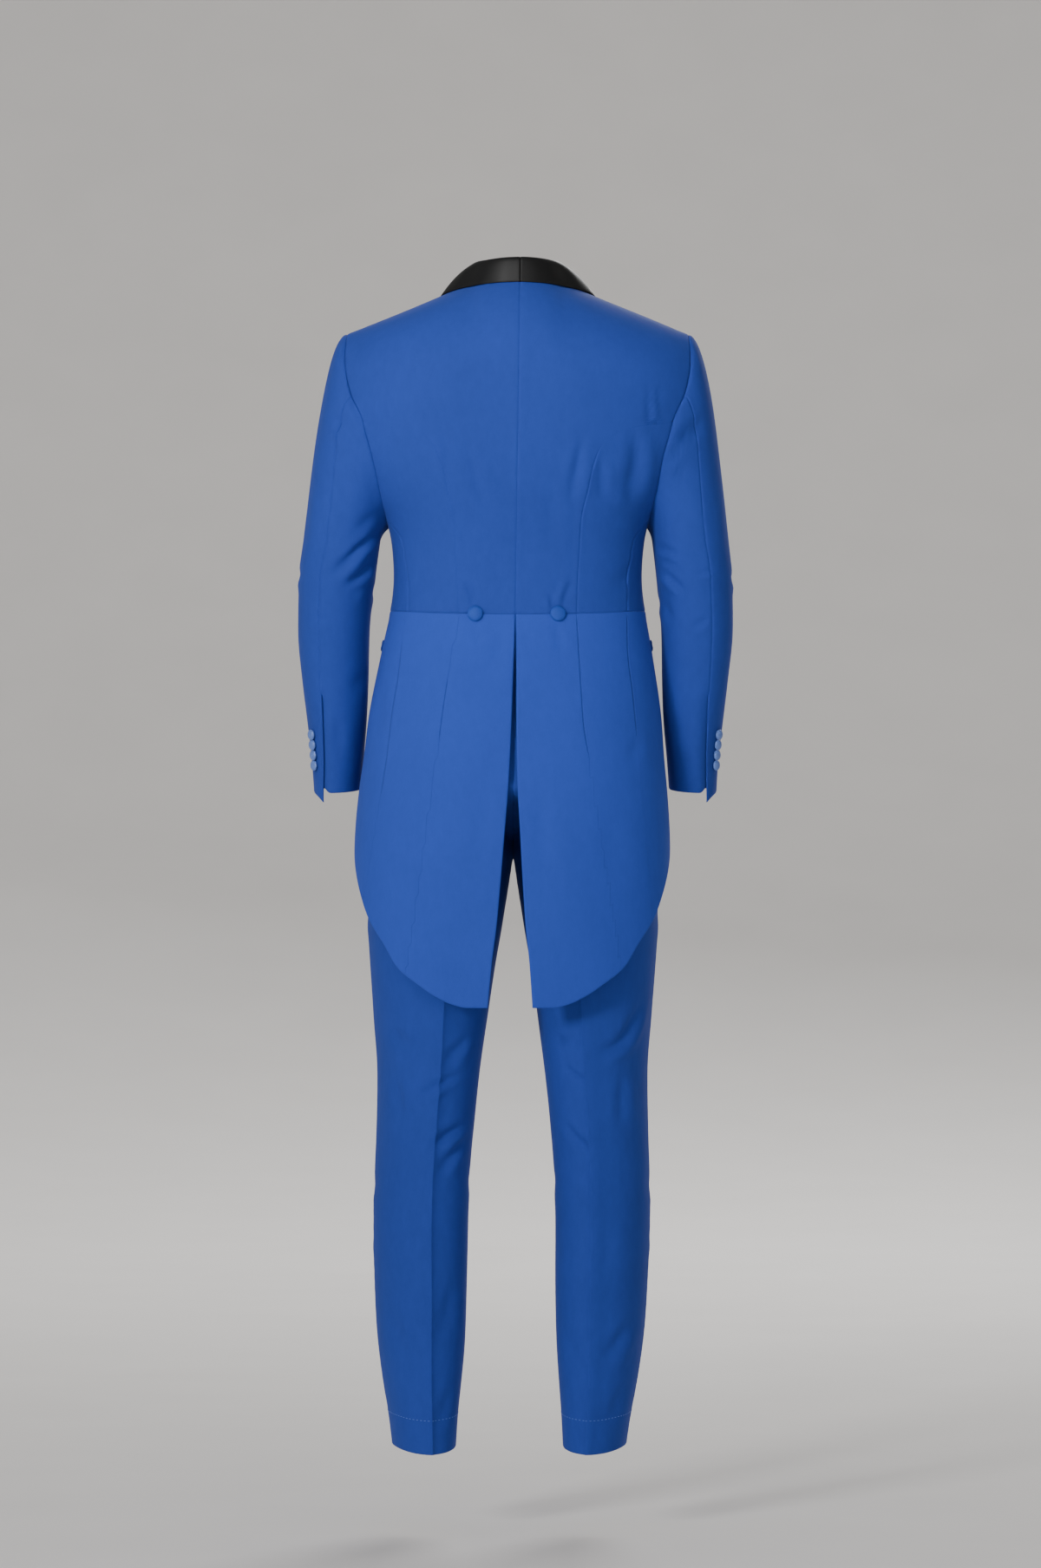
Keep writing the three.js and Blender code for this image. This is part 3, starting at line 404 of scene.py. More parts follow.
@dataclass(frozen=True)
class SleeveForm:
    """The sleeve: its cap from the armhole to the bicep, and its rings down to the cuff."""

    coat: CoatForm
    bicep_z: float = -322.0
    cuff_z: float = -643.0
    fore_seam_theta: float = -125.0
    cap_share: float = 0.42
    tip_drop: float = 11.5
    roundness: float = 0.92
    rings: Profile = Profile(
        "z outer inner deep y hind drift",
        [
            (-660, 261.5, 202, 54, -71, 54, 3.5), (-637, 262.5, 200, 54, -66, 55, 3.5),
            (-603, 264.5, 197, 55, -57, 59, 3.5), (-553, 270, 192.5, 56.5, -44, 63, 3.5),
            (-502, 276, 190.5, 58.5, -32, 67, 3.4), (-435, 281.5, 188.5, 62, -20, 69, 3.2),
            (-368, 280, 181.5, 67, -13, 68, 2.8), (-322, 275, 175.5, 69.5, -11, 71, 2.2),
        ],
        soften=8.0,
    )

    def armhole_edge(self, theta: Array, lift: float) -> Array:
        """Returns the armhole's edge round the sleeve, on the left side of the body."""
        coat = self.coat
        angle = np.radians(theta)
        middle = 0.5 * (coat.armhole_top_z + coat.armhole_low_z)
        half = 0.5 * (coat.armhole_top_z - coat.armhole_low_z)
        z = middle + half * np.cos(angle)
        back, front = coat.armhole.read("back", z), coat.armhole.read("front", z)
        point = coat.point(Side.LEFT, np.where(np.sin(angle) >= 0, back, front), z)
        across = np.stack([0 * z, np.sin(angle) / 85, np.cos(angle) / half], -1)
        across = across / np.linalg.norm(across, axis=-1, keepdims=True)
        point = point + np.asarray(lift)[..., None] * across
        return point

    def ring(self, side: Side, theta: Array, z: Array, lift: float | Array) -> Array:
        """Returns points of a ring below the bicep, before it is turned to its side."""
        outer, inner = self.rings.read("outer", z), self.rings.read("inner", z)
        wide = 0.5 * (outer - inner) + lift
        deep = self.rings.read("deep", z) + lift
        x = 0.5 * (outer + inner) + wide * bulge(np.cos(np.radians(theta)), self.roundness)
        y = self.rings.read("y", z) + deep * bulge(np.sin(np.radians(theta)), self.roundness)
        return np.stack([x + side.value * self.rings.read("drift", z), y, z + 0 * x], -1)

    def point(self, side: Side, theta: Array, share: Array, lift: float, tip: Array) -> Array:
        """Find places on the sleeve.

        Args:
            side: the arm.
            theta: angle round it, in degrees.
            share: of its length from the armhole.
            lift: distance out from the surface.
            tip: how far the cuff's edge drops.

        Returns:
            The points.
        """
        theta, share, tip = np.broadcast_arrays(theta, share, tip)
        t = np.clip(share / self.cap_share, 0, 1)[..., None]
        start = self.armhole_edge(theta, lift)
        end = self.ring(side, theta, np.full_like(theta, self.bicep_z), lift)
        far = np.linalg.norm(end - start, axis=-1, keepdims=True)
        leave, arrive = np.array([0.3, 0, 0]) * far, np.array([0.13, 0, -1.12]) * far
        cap = start * (2 * t**3 - 3 * t**2 + 1) + end * (3 * t**2 - 2 * t**3)
        cap = cap + leave * (t**3 - 2 * t**2 + t) + arrive * (t**3 - t**2)
        fall = np.clip((share - self.cap_share) / (1 - self.cap_share), 0, 1)
        low = self.cuff_z - 4 * np.cos(np.radians(theta - 70)) - tip
        arm = self.ring(side, theta, self.bicep_z + (low - self.bicep_z) * fall, lift)
        point = np.where((share < self.cap_share)[..., None], cap, arm)
        point[..., 0] *= side.value
        return point

    def hind_seam(self, share: Array) -> Array:
        """Returns the angle of the back seam down the sleeve."""
        fall = np.clip((share - self.cap_share) / (1 - self.cap_share), 0, 1)
        return self.rings.read("hind", self.bicep_z + (self.cuff_z - self.bicep_z) * fall)


# Cloth


class View(Enum):
    """The way a crease is drawn from: which axis runs across, and which way its face looks."""

    REAR = (0, 1, 1.0)
    FRONT = (0, 1, -1.0)
    OUTER = (1, 0, 1.0)
    INNER = (1, 0, -1.0)


@dataclass(frozen=True)
class Track:
    """A drawn line over a garment, with the distance to it of any place."""

    marks: tuple[tuple[float, float], ...]
    strength: float = 1.0

    def line(self) -> Array:
        """Returns a smooth run of points through the marks."""
        if len(self.marks) == 2:
            return np.linspace(self.marks[0], self.marks[1], 12)
        return Edge(self.marks, stretch=1.0)(np.linspace(0, 1, 24))

    def near(self, across: Array, up: Array, extended: bool = False) -> tuple[Array, Array]:
        """Measure places against the line.

        Args:
            across: their first coordinate.
            up: their height.
            extended: whether the line runs on past its ends.

        Returns:
            The signed distance of each, and its share of the line's length.
        """
        line = self.line()
        steps = np.linalg.norm(np.diff(line, axis=0), axis=1)
        total = np.concatenate([[0.0], np.cumsum(steps)])
        best = np.full(across.shape, 1e9)
        signed, share = np.zeros(across.shape), np.zeros(across.shape)
        for k, step in enumerate(steps):
            way = (line[k + 1] - line[k]) / step
            dx, dz = across - line[k, 0], up - line[k, 1]
            along = dx * way[0] + dz * way[1]
            low = -1e4 if extended and k == 0 else 0.0
            high = 1e4 if extended and k == len(steps) - 1 else step
            held = np.clip(along, low, high)
            off = np.hypot(dx - held * way[0], dz - held * way[1])
            nearer = off < best
            best = np.where(nearer, off, best)
            side = np.sign(dx * way[1] - dz * way[0])
            signed = np.where(nearer, off * side, signed)
            share = np.where(nearer, (total[k] + held) / total[-1], share)
        return signed, share


@dataclass(frozen=True)
class Crease:
    """A soft trough with a ridge beside it; a negative depth makes a ridge with troughs."""

    marks: tuple[tuple[float, float], ...]
    depth: float
    width: float
    ridge: float = 0.6
    view: View = View.REAR
    fade_share: float = 0.38
    beside_at: float = 1.75
    beside_width: float = 1.15
    other_at: float = 1.9
    other_width: float = 1.3
    other_share: float = 0.35

    def height(self, points: Array, normals: Array, side: Side) -> Array:
        """Returns how far the cloth stands out at each point for this crease."""
        axis, faces, way = self.view.value
        turn = side.value if faces == 0 else 1
        looks = ease((turn * way * normals[..., faces] + 0.05) / 0.45)
        signed, share = Track(self.marks).near(points[..., axis], points[..., 2])
        taper = ease(share / self.fade_share) * ease((1 - share) / self.fade_share) * 0.9 + 0.1
        taper = taper * ease(share / 0.04 + 0.4) * ease((1 - share) / 0.04 + 0.4)
        width = self.width * (0.75 + 0.5 * share)
        trough = -bell(signed, width)
        beside = bell(signed - self.beside_at * width, self.beside_width * width)
        other = self.other_share * bell(signed + self.other_at * width, self.other_width * width)
        return self.depth * looks * taper * (trough + self.ridge * (beside + other))


@dataclass(frozen=True)
class Quiet:
    """A stretch of a sewn edge, between two heights, whose seam shows only by a share."""

    edge: str
    low: float
    high: float
    share: float

    def weight(self, z: Array) -> Array:
        """Returns the seam's share at each height."""
        inside = ease((z - self.low) / 8 + 0.5) * ease((self.high - z) / 8 + 0.5)
        return 1 - (1 - self.share) * inside


@dataclass(frozen=True)
class Seaming:
    """How a cloth panel's edges are made."""

    sewn: str = "bottom top start end"
    furrow: float = 0.5
    furrow_width: float = 0.9
    swell: float = 0.28
    swell_at: float = 4.2
    swell_width: float = 3.4
    pucker: float = 0.14
    pucker_at: float = 3.0
    pucker_width: float = 4.5
    turn: float = 0.7
    allowance: float = 1.5
    quiet: tuple[Quiet, ...] = ()

    def weight(self, edge: str, z: Array) -> Array:
        """Returns how much of a seam shows at each height of one edge."""
        weight = np.ones_like(z)
        for part in self.quiet:
            if part.edge == edge:
                weight = weight * part.weight(z)
        return weight


def undulation(points: Array, amount: float) -> Array:
    """Returns the slow unevenness of worn cloth, the same on every panel at a place."""
    waves = ((0.031, 0.017, 0.023, 0.4), (-0.019, 0.037, 0.041, 2.1), (0.047, -0.029, 0.013, 4.4))
    total = np.zeros(points.shape[:-1])
    for kx, ky, kz, phase in waves:
        total += np.sin(kx * points[..., 0] + ky * points[..., 1] + kz * points[..., 2] + phase)
    return amount * total / len(waves)


def spread(length: float, spacing: float) -> Array:
    """Returns shares along a length, close together at both ends and even between them."""
    rim = [0.0, 0.7, 1.8, 3.6, 6.2]
    if length < 2.6 * rim[-1]:
        return np.linspace(0, 1, max(6, int(length / 2.0)))
    count = max(2, int(round((length - 2 * rim[-1]) / spacing)))
    middle = np.linspace(rim[-1], length - rim[-1], count + 1)
    ends = np.array(rim[:-1])
    return np.concatenate([ends, middle, length - ends[::-1]]) / length


def normals_of(points: Array, outward: Array) -> Array:
    """Find which way a surface faces.

    Args:
        points: a grid of its points.
        outward: a rough way out at each.

    Returns:
        Unit normals on that side.
    """
    normal = np.cross(np.gradient(points, axis=1), np.gradient(points, axis=0))
    size = np.linalg.norm(normal, axis=-1, keepdims=True)
    rough = outward / np.maximum(np.linalg.norm(outward, axis=-1, keepdims=True), 1e-9)
    normal = np.where(size > 1e-7, normal / np.maximum(size, 1e-7), rough)
    turn = np.sign(np.sum(normal * rough, axis=-1, keepdims=True))
    return normal * np.where(turn == 0, 1, turn)


def run_lengths(points: Array, axis: int) -> Array:
    """Returns the length run along an axis of the grid up to each point."""
    step = np.linalg.norm(np.diff(points, axis=axis), axis=-1)
    start = np.zeros_like(np.take(step, [0], axis=axis))
    return np.concatenate([start, np.cumsum(step, axis=axis)], axis=axis)


@dataclass
class Cloth:
    """One cut panel: a grid over its face, shaped by its seams and creases into a fine shell."""

    name: str
    side: Side
    face: Callable[[Array, Array, float], Array]
    spacing: float
    creases: tuple[Crease, ...] = ()
    seaming: Seaming = Seaming()
    lines: tuple[Track, ...] = ()
    thickness: float = 1.3
    lift: float = 0.0
    relief: Optional[Callable[[Array, Array], Array]] = None
    hung: bool = False
    pressed: bool = False
    press_height: float = 2.5
    press_width: float = 3.8
    press_top: float = -690.0
    press_fade: float = 90.0
    unevenness: float = 0.45
    slot: str = "blue_wool"
    samples: int = 200
    row_power: float = 2.2
    columns: Array = field(init=False)
    rows: Array = field(init=False)
    points: Array = field(init=False)
    normals: Array = field(init=False)
    across: Array = field(init=False)
    along: Array = field(init=False)
    seams: dict[str, tuple[Array, Array]] = field(init=False)

    def __post_init__(self) -> None:
        """Lay the grid, then move it for seams, creases and relief."""
        trial = np.linspace(0, 1, self.samples)
        close = 1 - (1 - trial) ** self.row_power
        rough = self.face(*np.meshgrid(trial, close), self.lift)
        wide = run_lengths(rough, 1).mean(axis=0)
        long = run_lengths(rough, 0).mean(axis=1)
        shares = spread(wide[-1], self.spacing)
        if self.pressed:
            half = 0.5 * spread(0.5 * wide[-1], self.spacing)
            shares = np.concatenate([half, 0.5 + half[1:]])
        self.columns = np.interp(shares, wide / wide[-1], trial)
        self.rows = np.interp(spread(long[-1], self.spacing), long / long[-1], close)
        u, v = np.meshgrid(self.columns, self.rows)
        base = self.face(u, v, self.lift)
        outward = self.face(u, v, self.lift + 1.0) - base
        normals = normals_of(base, outward)
        self.across, self.along = run_lengths(base, 1), run_lengths(base, 0)
        self.seams = self._seam_weights(base)
        height = self._edge_height() + undulation(base, self.unevenness)
        if self.pressed:
            away = np.abs(self.across - self.across[:, [len(shares) // 2]])
            pressed = self.press_height * ease((self.press_top - base[..., 2]) / self.press_fade)
            height += pressed * np.exp(-away / self.press_width)
        for crease in self.creases:
            height = height + crease.height(base, normals, self.side)
        if self.relief is not None:
            height = height + self.relief(base, normals)
        self.points = base + normals * height[..., None]
        self.normals = normals_of(self.points, outward)

    def edge_distances(self) -> dict[str, Array]:
        """Returns the distance of every point from each of the panel's four edges."""
        return {
            "start": self.across,
            "end": self.across[:, -1:] - self.across,
            "bottom": self.along,
            "top": self.along[-1:, :] - self.along,
        }

    def _edge_height(self) -> Array:
        """Returns the furrow, swell and pucker along the seams and the turn of free edges."""
        height = np.zeros_like(self.across)
        make = self.seaming
        for word, away in self.edge_distances().items():
            if word not in make.sewn:
                height -= make.turn * bell(away, 1.0)
                continue
            weight = self.seams[word][1]
            run = self.along if word in ("start", "end") else self.across
            wave = np.sin(run / 3.1 + 1.7 * np.sin(run / 17.0)) * (0.6 + 0.4 * np.sin(run / 41.0 + 1.3))
            seam = make.swell * bell(away - make.swell_at, make.swell_width)
            seam = seam - make.furrow * bell(away, make.furrow_width)
            gather = make.pucker * wave * bell(away - make.pucker_at, make.pucker_width)
            height += weight * (seam + gather)
        return height

    def _seam_weights(self, base: Array) -> dict[str, tuple[Array, Array]]:
        """Returns each sewn edge's distance, and how much its seam shows beside every point."""
        z = base[..., 2]
        nearest = {"start": z[:, :1], "end": z[:, -1:], "bottom": z[:1, :], "top": z[-1:, :]}
        found = {}
        for word, away in self.edge_distances().items():
            if word in self.seaming.sewn:
                weight = np.broadcast_to(self.seaming.weight(word, nearest[word]), away.shape)
                found[word] = (away, weight)
        return found

    def trace(self, u: Array, v: Array) -> tuple[Array, Array]:
        """Follow a path over the finished cloth.

        Args:
            u: places across the panel, 0 to 1.
            v: places along it, 0 to 1.

        Returns:
            The points of the path and the ways out from the cloth at them.
        """
        column = np.interp(u, self.columns, np.arange(len(self.columns)))
        row = np.interp(v, self.rows, np.arange(len(self.rows)))
        left = np.minimum(column.astype(int), len(self.columns) - 2)
        low = np.minimum(row.astype(int), len(self.rows) - 2)
        a, b = (column - left)[:, None], (row - low)[:, None]

        def read(grid: Array) -> Array:
            """Returns a grid's values between its corners."""
            below = grid[low, left] * (1 - a) + grid[low, left + 1] * a
            above = grid[low + 1, left] * (1 - a) + grid[low + 1, left + 1] * a
            return below * (1 - b) + above * b

        return read(self.points), read(self.normals)

    def flat_size(self) -> tuple[float, float]:
        """Returns the width and length, in metres, of the straight piece it is cut from."""
        width, length = self.across.max(), self.along.max()
        if self.hung:
            step = np.diff(self.points, axis=1)
            width = np.hypot(step[..., 0], step[..., 1]).sum(axis=1).max()
            length = np.ptp(self.points[..., 2])
        return width * MM * PRESS_EASE, length * MM * PRESS_EASE

    def area(self) -> float:
        """Returns the area of the cloth in square metres."""
        a = self.points[1:, 1:] - self.points[:-1, :-1]
        b = self.points[1:, :-1] - self.points[:-1, 1:]
        return 0.5 * np.linalg.norm(np.cross(a, b), axis=-1).sum() * MM * MM

    def build(self, finishes: Sequence[bpy.types.Material]) -> bpy.types.Object:
        """Make the shell.

        Args:
            finishes: materials of the outer face and of the inside.

        Returns:
            The piece.
        """
        rows, columns = self.across.shape
        inner = self.points - self.normals * self.thickness
        self._reach_under(inner)
        points = np.concatenate([self.points.reshape(-1, 3), inner.reshape(-1, 3)]) * MM
        index = np.arange(rows * columns).reshape(rows, columns)
        under = index + rows * columns
        quads = [
            _quads(index[:-1, :-1], index[:-1, 1:], index[1:, 1:], index[1:, :-1]),
            _quads(under[:-1, :-1], under[1:, :-1], under[1:, 1:], under[:-1, 1:]),
            _quads(index[0, :-1], under[0, :-1], under[0, 1:], index[0, 1:]),
            _quads(index[-1, :-1], index[-1, 1:], under[-1, 1:], under[-1, :-1]),
            _quads(index[:-1, 0], index[1:, 0], under[1:, 0], under[:-1, 0]),
            _quads(index[:-1, -1], under[:-1, -1], under[1:, -1], index[1:, -1]),
        ]
        faces = np.concatenate(quads)
        a, b, c = points[faces[:, 0]], points[faces[:, 1]], points[faces[:, 2]]
        if np.einsum("ij,ij->i", a, np.cross(b, c)).sum() < 0:
            faces = faces[:, ::-1]
        inside = np.zeros(len(faces), dtype=np.int32)
        inside[len(quads[0]) : len(quads[0]) + len(quads[1])] = 1
        flat = np.stack([self.across - 0.5 * self.across[:, -1:], self.along], -1).reshape(-1, 2) * MM
        values = {"edge": self._sewn_distance().reshape(-1)}
        for number, line in enumerate(self.lines, start=1):
            values[f"line_{number}"] = self._line_distance(line).reshape(-1)
        return make_mesh(
            self.name, points, faces, finishes, inside, np.tile(flat, (2, 1)),
            {word: np.tile(value, 2) for word, value in values.items()},
        )

    def _reach_under(self, inner: Array) -> None:
        """Run the inside of each sewn edge on under its neighbour, as a seam allowance does."""
        edges = {
            "start": (np.s_[:, 0], np.s_[:, 2]), "end": (np.s_[:, -1], np.s_[:, -3]),
            "bottom": (np.s_[0, :], np.s_[2, :]), "top": (np.s_[-1, :], np.s_[-3, :]),
        }
        for word, (rim, near) in edges.items():
            if word in self.seaming.sewn:
                way = self.points[rim] - self.points[near]
                way /= np.maximum(np.linalg.norm(way, axis=-1, keepdims=True), 1e-6)
                inner[rim] += self.seaming.allowance * way

    def _sewn_distance(self) -> Array:
        """Returns the distance of each point from the nearest sewn edge that shows."""
        nearest = np.full_like(self.across, FAR)
        for away, weight in self.seams.values():
            nearest = np.minimum(nearest, away / np.maximum(weight, 1e-3) + 1.5 * (1 - weight))
        return nearest

    def _line_distance(self, line: Track) -> Array:
        """Returns the signed distance from a drawn line, which grows fast beyond its ends."""
        signed, share = line.near(self.points[..., 0], self.points[..., 2], extended=True)
        over = np.maximum(np.maximum(-share, share - 1), 0.0)
        seen = ease(1 - over / 0.06) * ease(np.minimum(share + 0.06, 1.06 - share) / 0.2)
        return np.clip(signed / np.maximum(seen * line.strength, 1e-3), -FAR, FAR)


def _quads(a: Array, b: Array, c: Array, d: Array) -> Array:
    """Returns quads from four arrays of corners."""
    return np.stack([a.ravel(), b.ravel(), c.ravel(), d.ravel()], -1)


def make_mesh(
    name: str,
    points: Array,
    faces: Array | Sequence[Sequence[int]],
    finishes: Sequence[bpy.types.Material],
    slots: Optional[Array] = None,
    flat: Optional[Array] = None,
    values: Optional[dict[str, Array]] = None,
) -> bpy.types.Object:
    """Make a smooth object.

    Args:
        name: its name.
        points: in metres.
        faces: the corners of each.
        finishes: its materials.
        slots: the material's number of each face.
        flat: each point's place on the flat cloth.
        values: named values of each point.

    Returns:
        The object.
    """
    mesh = bpy.data.meshes.new(name)
    mesh.from_pydata(points.tolist(), [], faces.tolist() if isinstance(faces, np.ndarray) else faces)
    for finish in finishes:
        mesh.materials.append(finish)
    if slots is not None:
        mesh.polygons.foreach_set("material_index", slots.astype(np.int32))
    mesh.polygons.foreach_set("use_smooth", np.ones(len(mesh.polygons), dtype=bool))
    if flat is not None:
        layer = mesh.uv_layers.new(name="cloth")
        corner = np.empty(len(mesh.loops), dtype=np.int32)
        mesh.loops.foreach_get("vertex_index", corner)
        layer.data.foreach_set("uv", flat[corner].astype(np.float32).ravel())
    for word, value in (values or {}).items():
        attribute = mesh.attributes.new(word, "FLOAT", "POINT")
        attribute.data.foreach_set("value", value.astype(np.float32))
    mesh.update()
    piece = bpy.data.objects.new(name, mesh)
    bpy.context.scene.collection.objects.link(piece)
    return piece


# Coat


def coons(bottom: EdgeLike, top: EdgeLike, start: EdgeLike, end: EdgeLike) -> Face:
    """Returns angle and height over a patch between four edges."""
    corner = [edge(np.array(t, float)) for t in (0.0, 1.0) for edge in (start, end)]

    def read(u: Array, v: Array) -> Array:
        """Returns angle and height at shares across and up."""
        across, up = u[..., None], v[..., None]
        sides = start(v) * (1 - across) + end(v) * across
        ends = bottom(u) * (1 - up) + top(u) * up
        low = corner[0] * (1 - across) + corner[1] * across
        high = corner[2] * (1 - across) + corner[3] * across
        return sides + ends - low * (1 - up) - high * up

    return read


SHAWL_NAMES = "count rear neck_x neck_z edge_x edge_z stand"
SHAWL_ROWS = [
    (0, 1, 0.15, 12, 0.15, 7, 26), (1, 1, 15, 11.8, 21, 6.6, 26), (2, 1, 32, 11.2, 43, 5.2, 25.5),
    (3, 1, 47, 10.8, 66, 2.5, 24.5), (4, 1, 58, 10.2, 84, -0.8, 22.5),
    (5, 1, 63.4, 9.2, 96, -4.2, 19), (6, 0, 62, 3, 105, -20, 14), (7, 0, 58, -10, 111, -45, 9.5),
    (8, 0, 52.5, -30, 117, -75, 5), (9, 0, 46, -58, 122, -108, 2), (10, 0, 39.5, -90, 125.5, -143, 0.6),
    (11, 0, 32, -130, 127, -181, 0), (12, 0, 24.5, -172, 125, -219, 0), (13, 0, 17, -212, 118, -257, 0),
    (14, 0, 10, -252, 104, -293, 0), (15, 0, 3, -292, 81, -327, 0), (16, 0, -4.5, -332, 47, -356, 0),
    (17, 0, -10.5, -364, 14, -377, 0), (18, 0, -13.8, -382, -7, -386.5, 0),
]


@dataclass(frozen=True)
class Coat:
    """The tailcoat: its body panels, skirts and shawl, with the sizes of their seams."""

    form: CoatForm
    spacing: float = 4.6
    princess: tuple[tuple[float, float], ...] = (
        (-418, 75.5), (-405, 75.8), (-337, 79), (-267, 88), (-227, 97), (-200, 110), (-184, 134),
    )
    side_seam: tuple[tuple[float, float], ...] = ((-412, 140), (-349, 144), (-320, 150))
    hem: Profile = Profile(
        "phi z",
        [
            (0, -919), (8, -919), (15, -915), (24, -904), (32, -890), (42, -870), (51, -838),
            (62, -807), (71, -776), (81, -744), (90, -716), (110, -648), (130, -570),
            (150, -495), (165, -450), (176.5, -427),
        ],
    )
    vent: Profile = Profile(
        "z gap lean",
        [
            (-919, 28.5, 0), (-859, 23.5, 0), (-816, 18.5, 0), (-759, 14, 0), (-697, 9.8, 0),
            (-626, 5.2, 0.3), (-554, 3, 1), (-469, 1.5, 2), (-418, 0.15, 3),
        ],
    )

    def lean(self, side: Side, z: Array) -> Array:
        """Returns the distance of the centre back seam from the middle, towards its side."""
        share = np.clip((7 - np.asarray(z, float)) / 425, 0, 1)
        return side.value * (-3 + 6 * share)

    def armhole(self, low: float, high: float, rear: bool = True) -> EdgeLike:
        """Returns the armhole's back or front branch between two heights."""
        z = np.linspace(low, high, 25)
        phi = self.form.armhole.read("back" if rear else "front", z)
        return Edge(list(zip(phi, z)))

    def waist(self, start: float, end: float) -> EdgeLike:
        """Returns an upper panel's edge along the waist between two angles."""

        def read(u: Array) -> Array:
            """Returns angle and height at each share."""
            phi = start + (end - start) * np.asarray(u, float)
            return np.stack([phi, self.form.waist_line(phi)], -1)

        return read

    def _seam(self, places: tuple[tuple[float, float], ...], top_z: float) -> Edge:
        """Returns a seam from the waist to the armhole, through heights and distances."""
        marks = [(float(self.form.angle_of(x, z, True)), z) for z, x in places]
        marks[0] = (marks[0][0], float(self.form.waist_line(marks[0][0])))
        marks.append((float(self.form.armhole.read("back", top_z)), top_z))
        return Edge(marks)

    def princess_edge(self) -> Edge:
        """Returns the back seam between the back and the side body."""
        return self._seam(self.princess, self.form.princess_top_z)

    def side_edge(self) -> Edge:
        """Returns the seam between the side body and the front."""
        return self._seam(self.side_seam, self.form.side_seam_top_z)

    def _panel(self, side: Side, patch: Face) -> Callable[[Array, Array, float], Array]:
        """Returns a panel's face from its patch of angles and heights."""

        def face(u: Array, v: Array, lift: float) -> Array:
            """Returns the panel's points."""
            chart = patch(u, v)
            return self.form.point(side, chart[..., 0], chart[..., 1], lift)

        return face

    def back(self, side: Side, creases: tuple[Crease, ...]) -> Cloth:
        """Returns one half of the upper back."""
        form = self.form
        neck = [(row[2], row[3]) for row in SHAWL_ROWS if row[1]]
        marks = [(float(form.angle_of(x, z, True)), z) for x, z in neck]
        marks[0] = (float(form.angle_of(self.lean(side, 12), 12, True)), 12)
        marks[-1] = tuple(form.shoulder(0.0, True))
        meet = 8 / 14
        end = joined(self.princess_edge(), self.armhole(form.princess_top_z, form.armhole_top_z), meet)

        def start(t: Array) -> Array:
            """Returns the centre back seam, whose rows stay level with the other edge's."""
            t = np.asarray(t, float)
            share = np.clip(3 * t / meet, 0, 1)
            z = np.where(
                t < meet,
                form.waist_z + (end(t)[..., 1] - form.waist_z) * share,
                form.princess_top_z + (12 - form.princess_top_z) * (t - meet) / (1 - meet),
            )
            return np.stack([form.angle_of(self.lean(side, z), z, True), z], -1)

        patch = coons(
            self.waist(float(start(0.0)[0]), float(end(np.array(0.0))[0])),
            joined(Edge(marks), lambda t: form.shoulder(t, True), 4 / 12),
            start,
            end,
        )
        return Cloth(
            f"back_{side.word}", side, self._panel(side, patch), self.spacing, creases,
            Seaming(quiet=self._princess_quiet(side, "end")),
        )

    def _princess_quiet(self, side: Side, edge: str) -> tuple[Quiet, ...]:
        """Returns where the back seam hardly shows: near the armhole, and more on the left."""
        top = self.form.princess_top_z
        if side is Side.LEFT:
            return (Quiet(edge, -196, top, 0.0), Quiet(edge, self.form.waist_z - 20, -196, 0.45))
        return (Quiet(edge, -212, top, 0.0),)

    def side_body(self, side: Side, creases: tuple[Crease, ...]) -> Cloth:
        """Returns the panel between the back and the front, under the arm."""
        form = self.form
        start, end = self.princess_edge(), self.side_edge()
        bottom = self.waist(float(start(0.0)[0]), float(end(0.0)[0]))
        top = self.armhole(form.princess_top_z, form.side_seam_top_z)
        return Cloth(
            f"side_body_{side.word}", side,
            self._panel(side, coons(bottom, top, start, end)), self.spacing, creases,
            Seaming(quiet=self._princess_quiet(side, "start")),
        )

    def front(self, side: Side, creases: tuple[Crease, ...]) -> Cloth:
        """Returns one front, from the side seam to its edge."""
        form = self.form
        seam = self.side_edge()
        low = [tuple(seam(1.0))]
        for z in np.linspace(form.side_seam_top_z, form.armhole_low_z, 3)[1:]:
            low.append((float(form.armhole.read("back", z)), z))
        high = []
        for z in np.linspace(form.armhole_low_z, form.armhole_top_z, 13)[1:-1]:
            high.append((float(form.armhole.read("front", z)), z))
        high.append(tuple(form.shoulder(1.0, False)))
        start = joined(seam, Edge([*low, *high]), 8 / 22)
        foot = (float(form.angle_of(-form.overlap_x, form.waist_z, False)), form.waist_z)
        marks = [foot, (float(form.angle_of(-form.overlap_x, form.roll_end_z, False)), form.roll_end_z)]
        neck = [(row[2], row[3]) for row in SHAWL_ROWS if not row[1]][:-1]
        marks += [(float(form.angle_of(x, z, False)), z) for x, z in reversed(neck)]
        marks.append(tuple(form.shoulder(0.0, False)))
        patch = coons(
            self.waist(float(seam(0.0)[0]), foot[0]),
            lambda u: form.shoulder(1 - np.asarray(u, float), False),
            start,
            Edge(marks),
        )
        return Cloth(
            f"front_{side.word}", side, self._panel(side, patch), self.spacing + 0.8, creases,
            Seaming(sewn="bottom top start"),
        )

    def skirt(self, side: Side, creases: tuple[Crease, ...], darts: tuple[Track, ...]) -> Cloth:
        """Returns one tail, from the vent round to the front."""
        form = self.form

        def face(u: Array, v: Array, lift: float) -> Array:
            """Returns the tail's points."""
            nominal = form.skirt_front_phi * np.asarray(u, float)
            top = form.waist_line(nominal)
            z = top + (self.hem.read("z", nominal) - top) * v
            fade = np.clip(1 - u / 0.22, 0, 1) ** 2
            away = (self.vent.read("gap", z) + side.value * self.vent.read("lean", z)) * fade
            x = form.body.read("half", z) * bulge(np.sin(np.radians(nominal)), form.roundness) + away
            phi = np.where(nominal < 60, form.angle_of(x, z, True), nominal)
            return form.point(side, phi, z, lift)

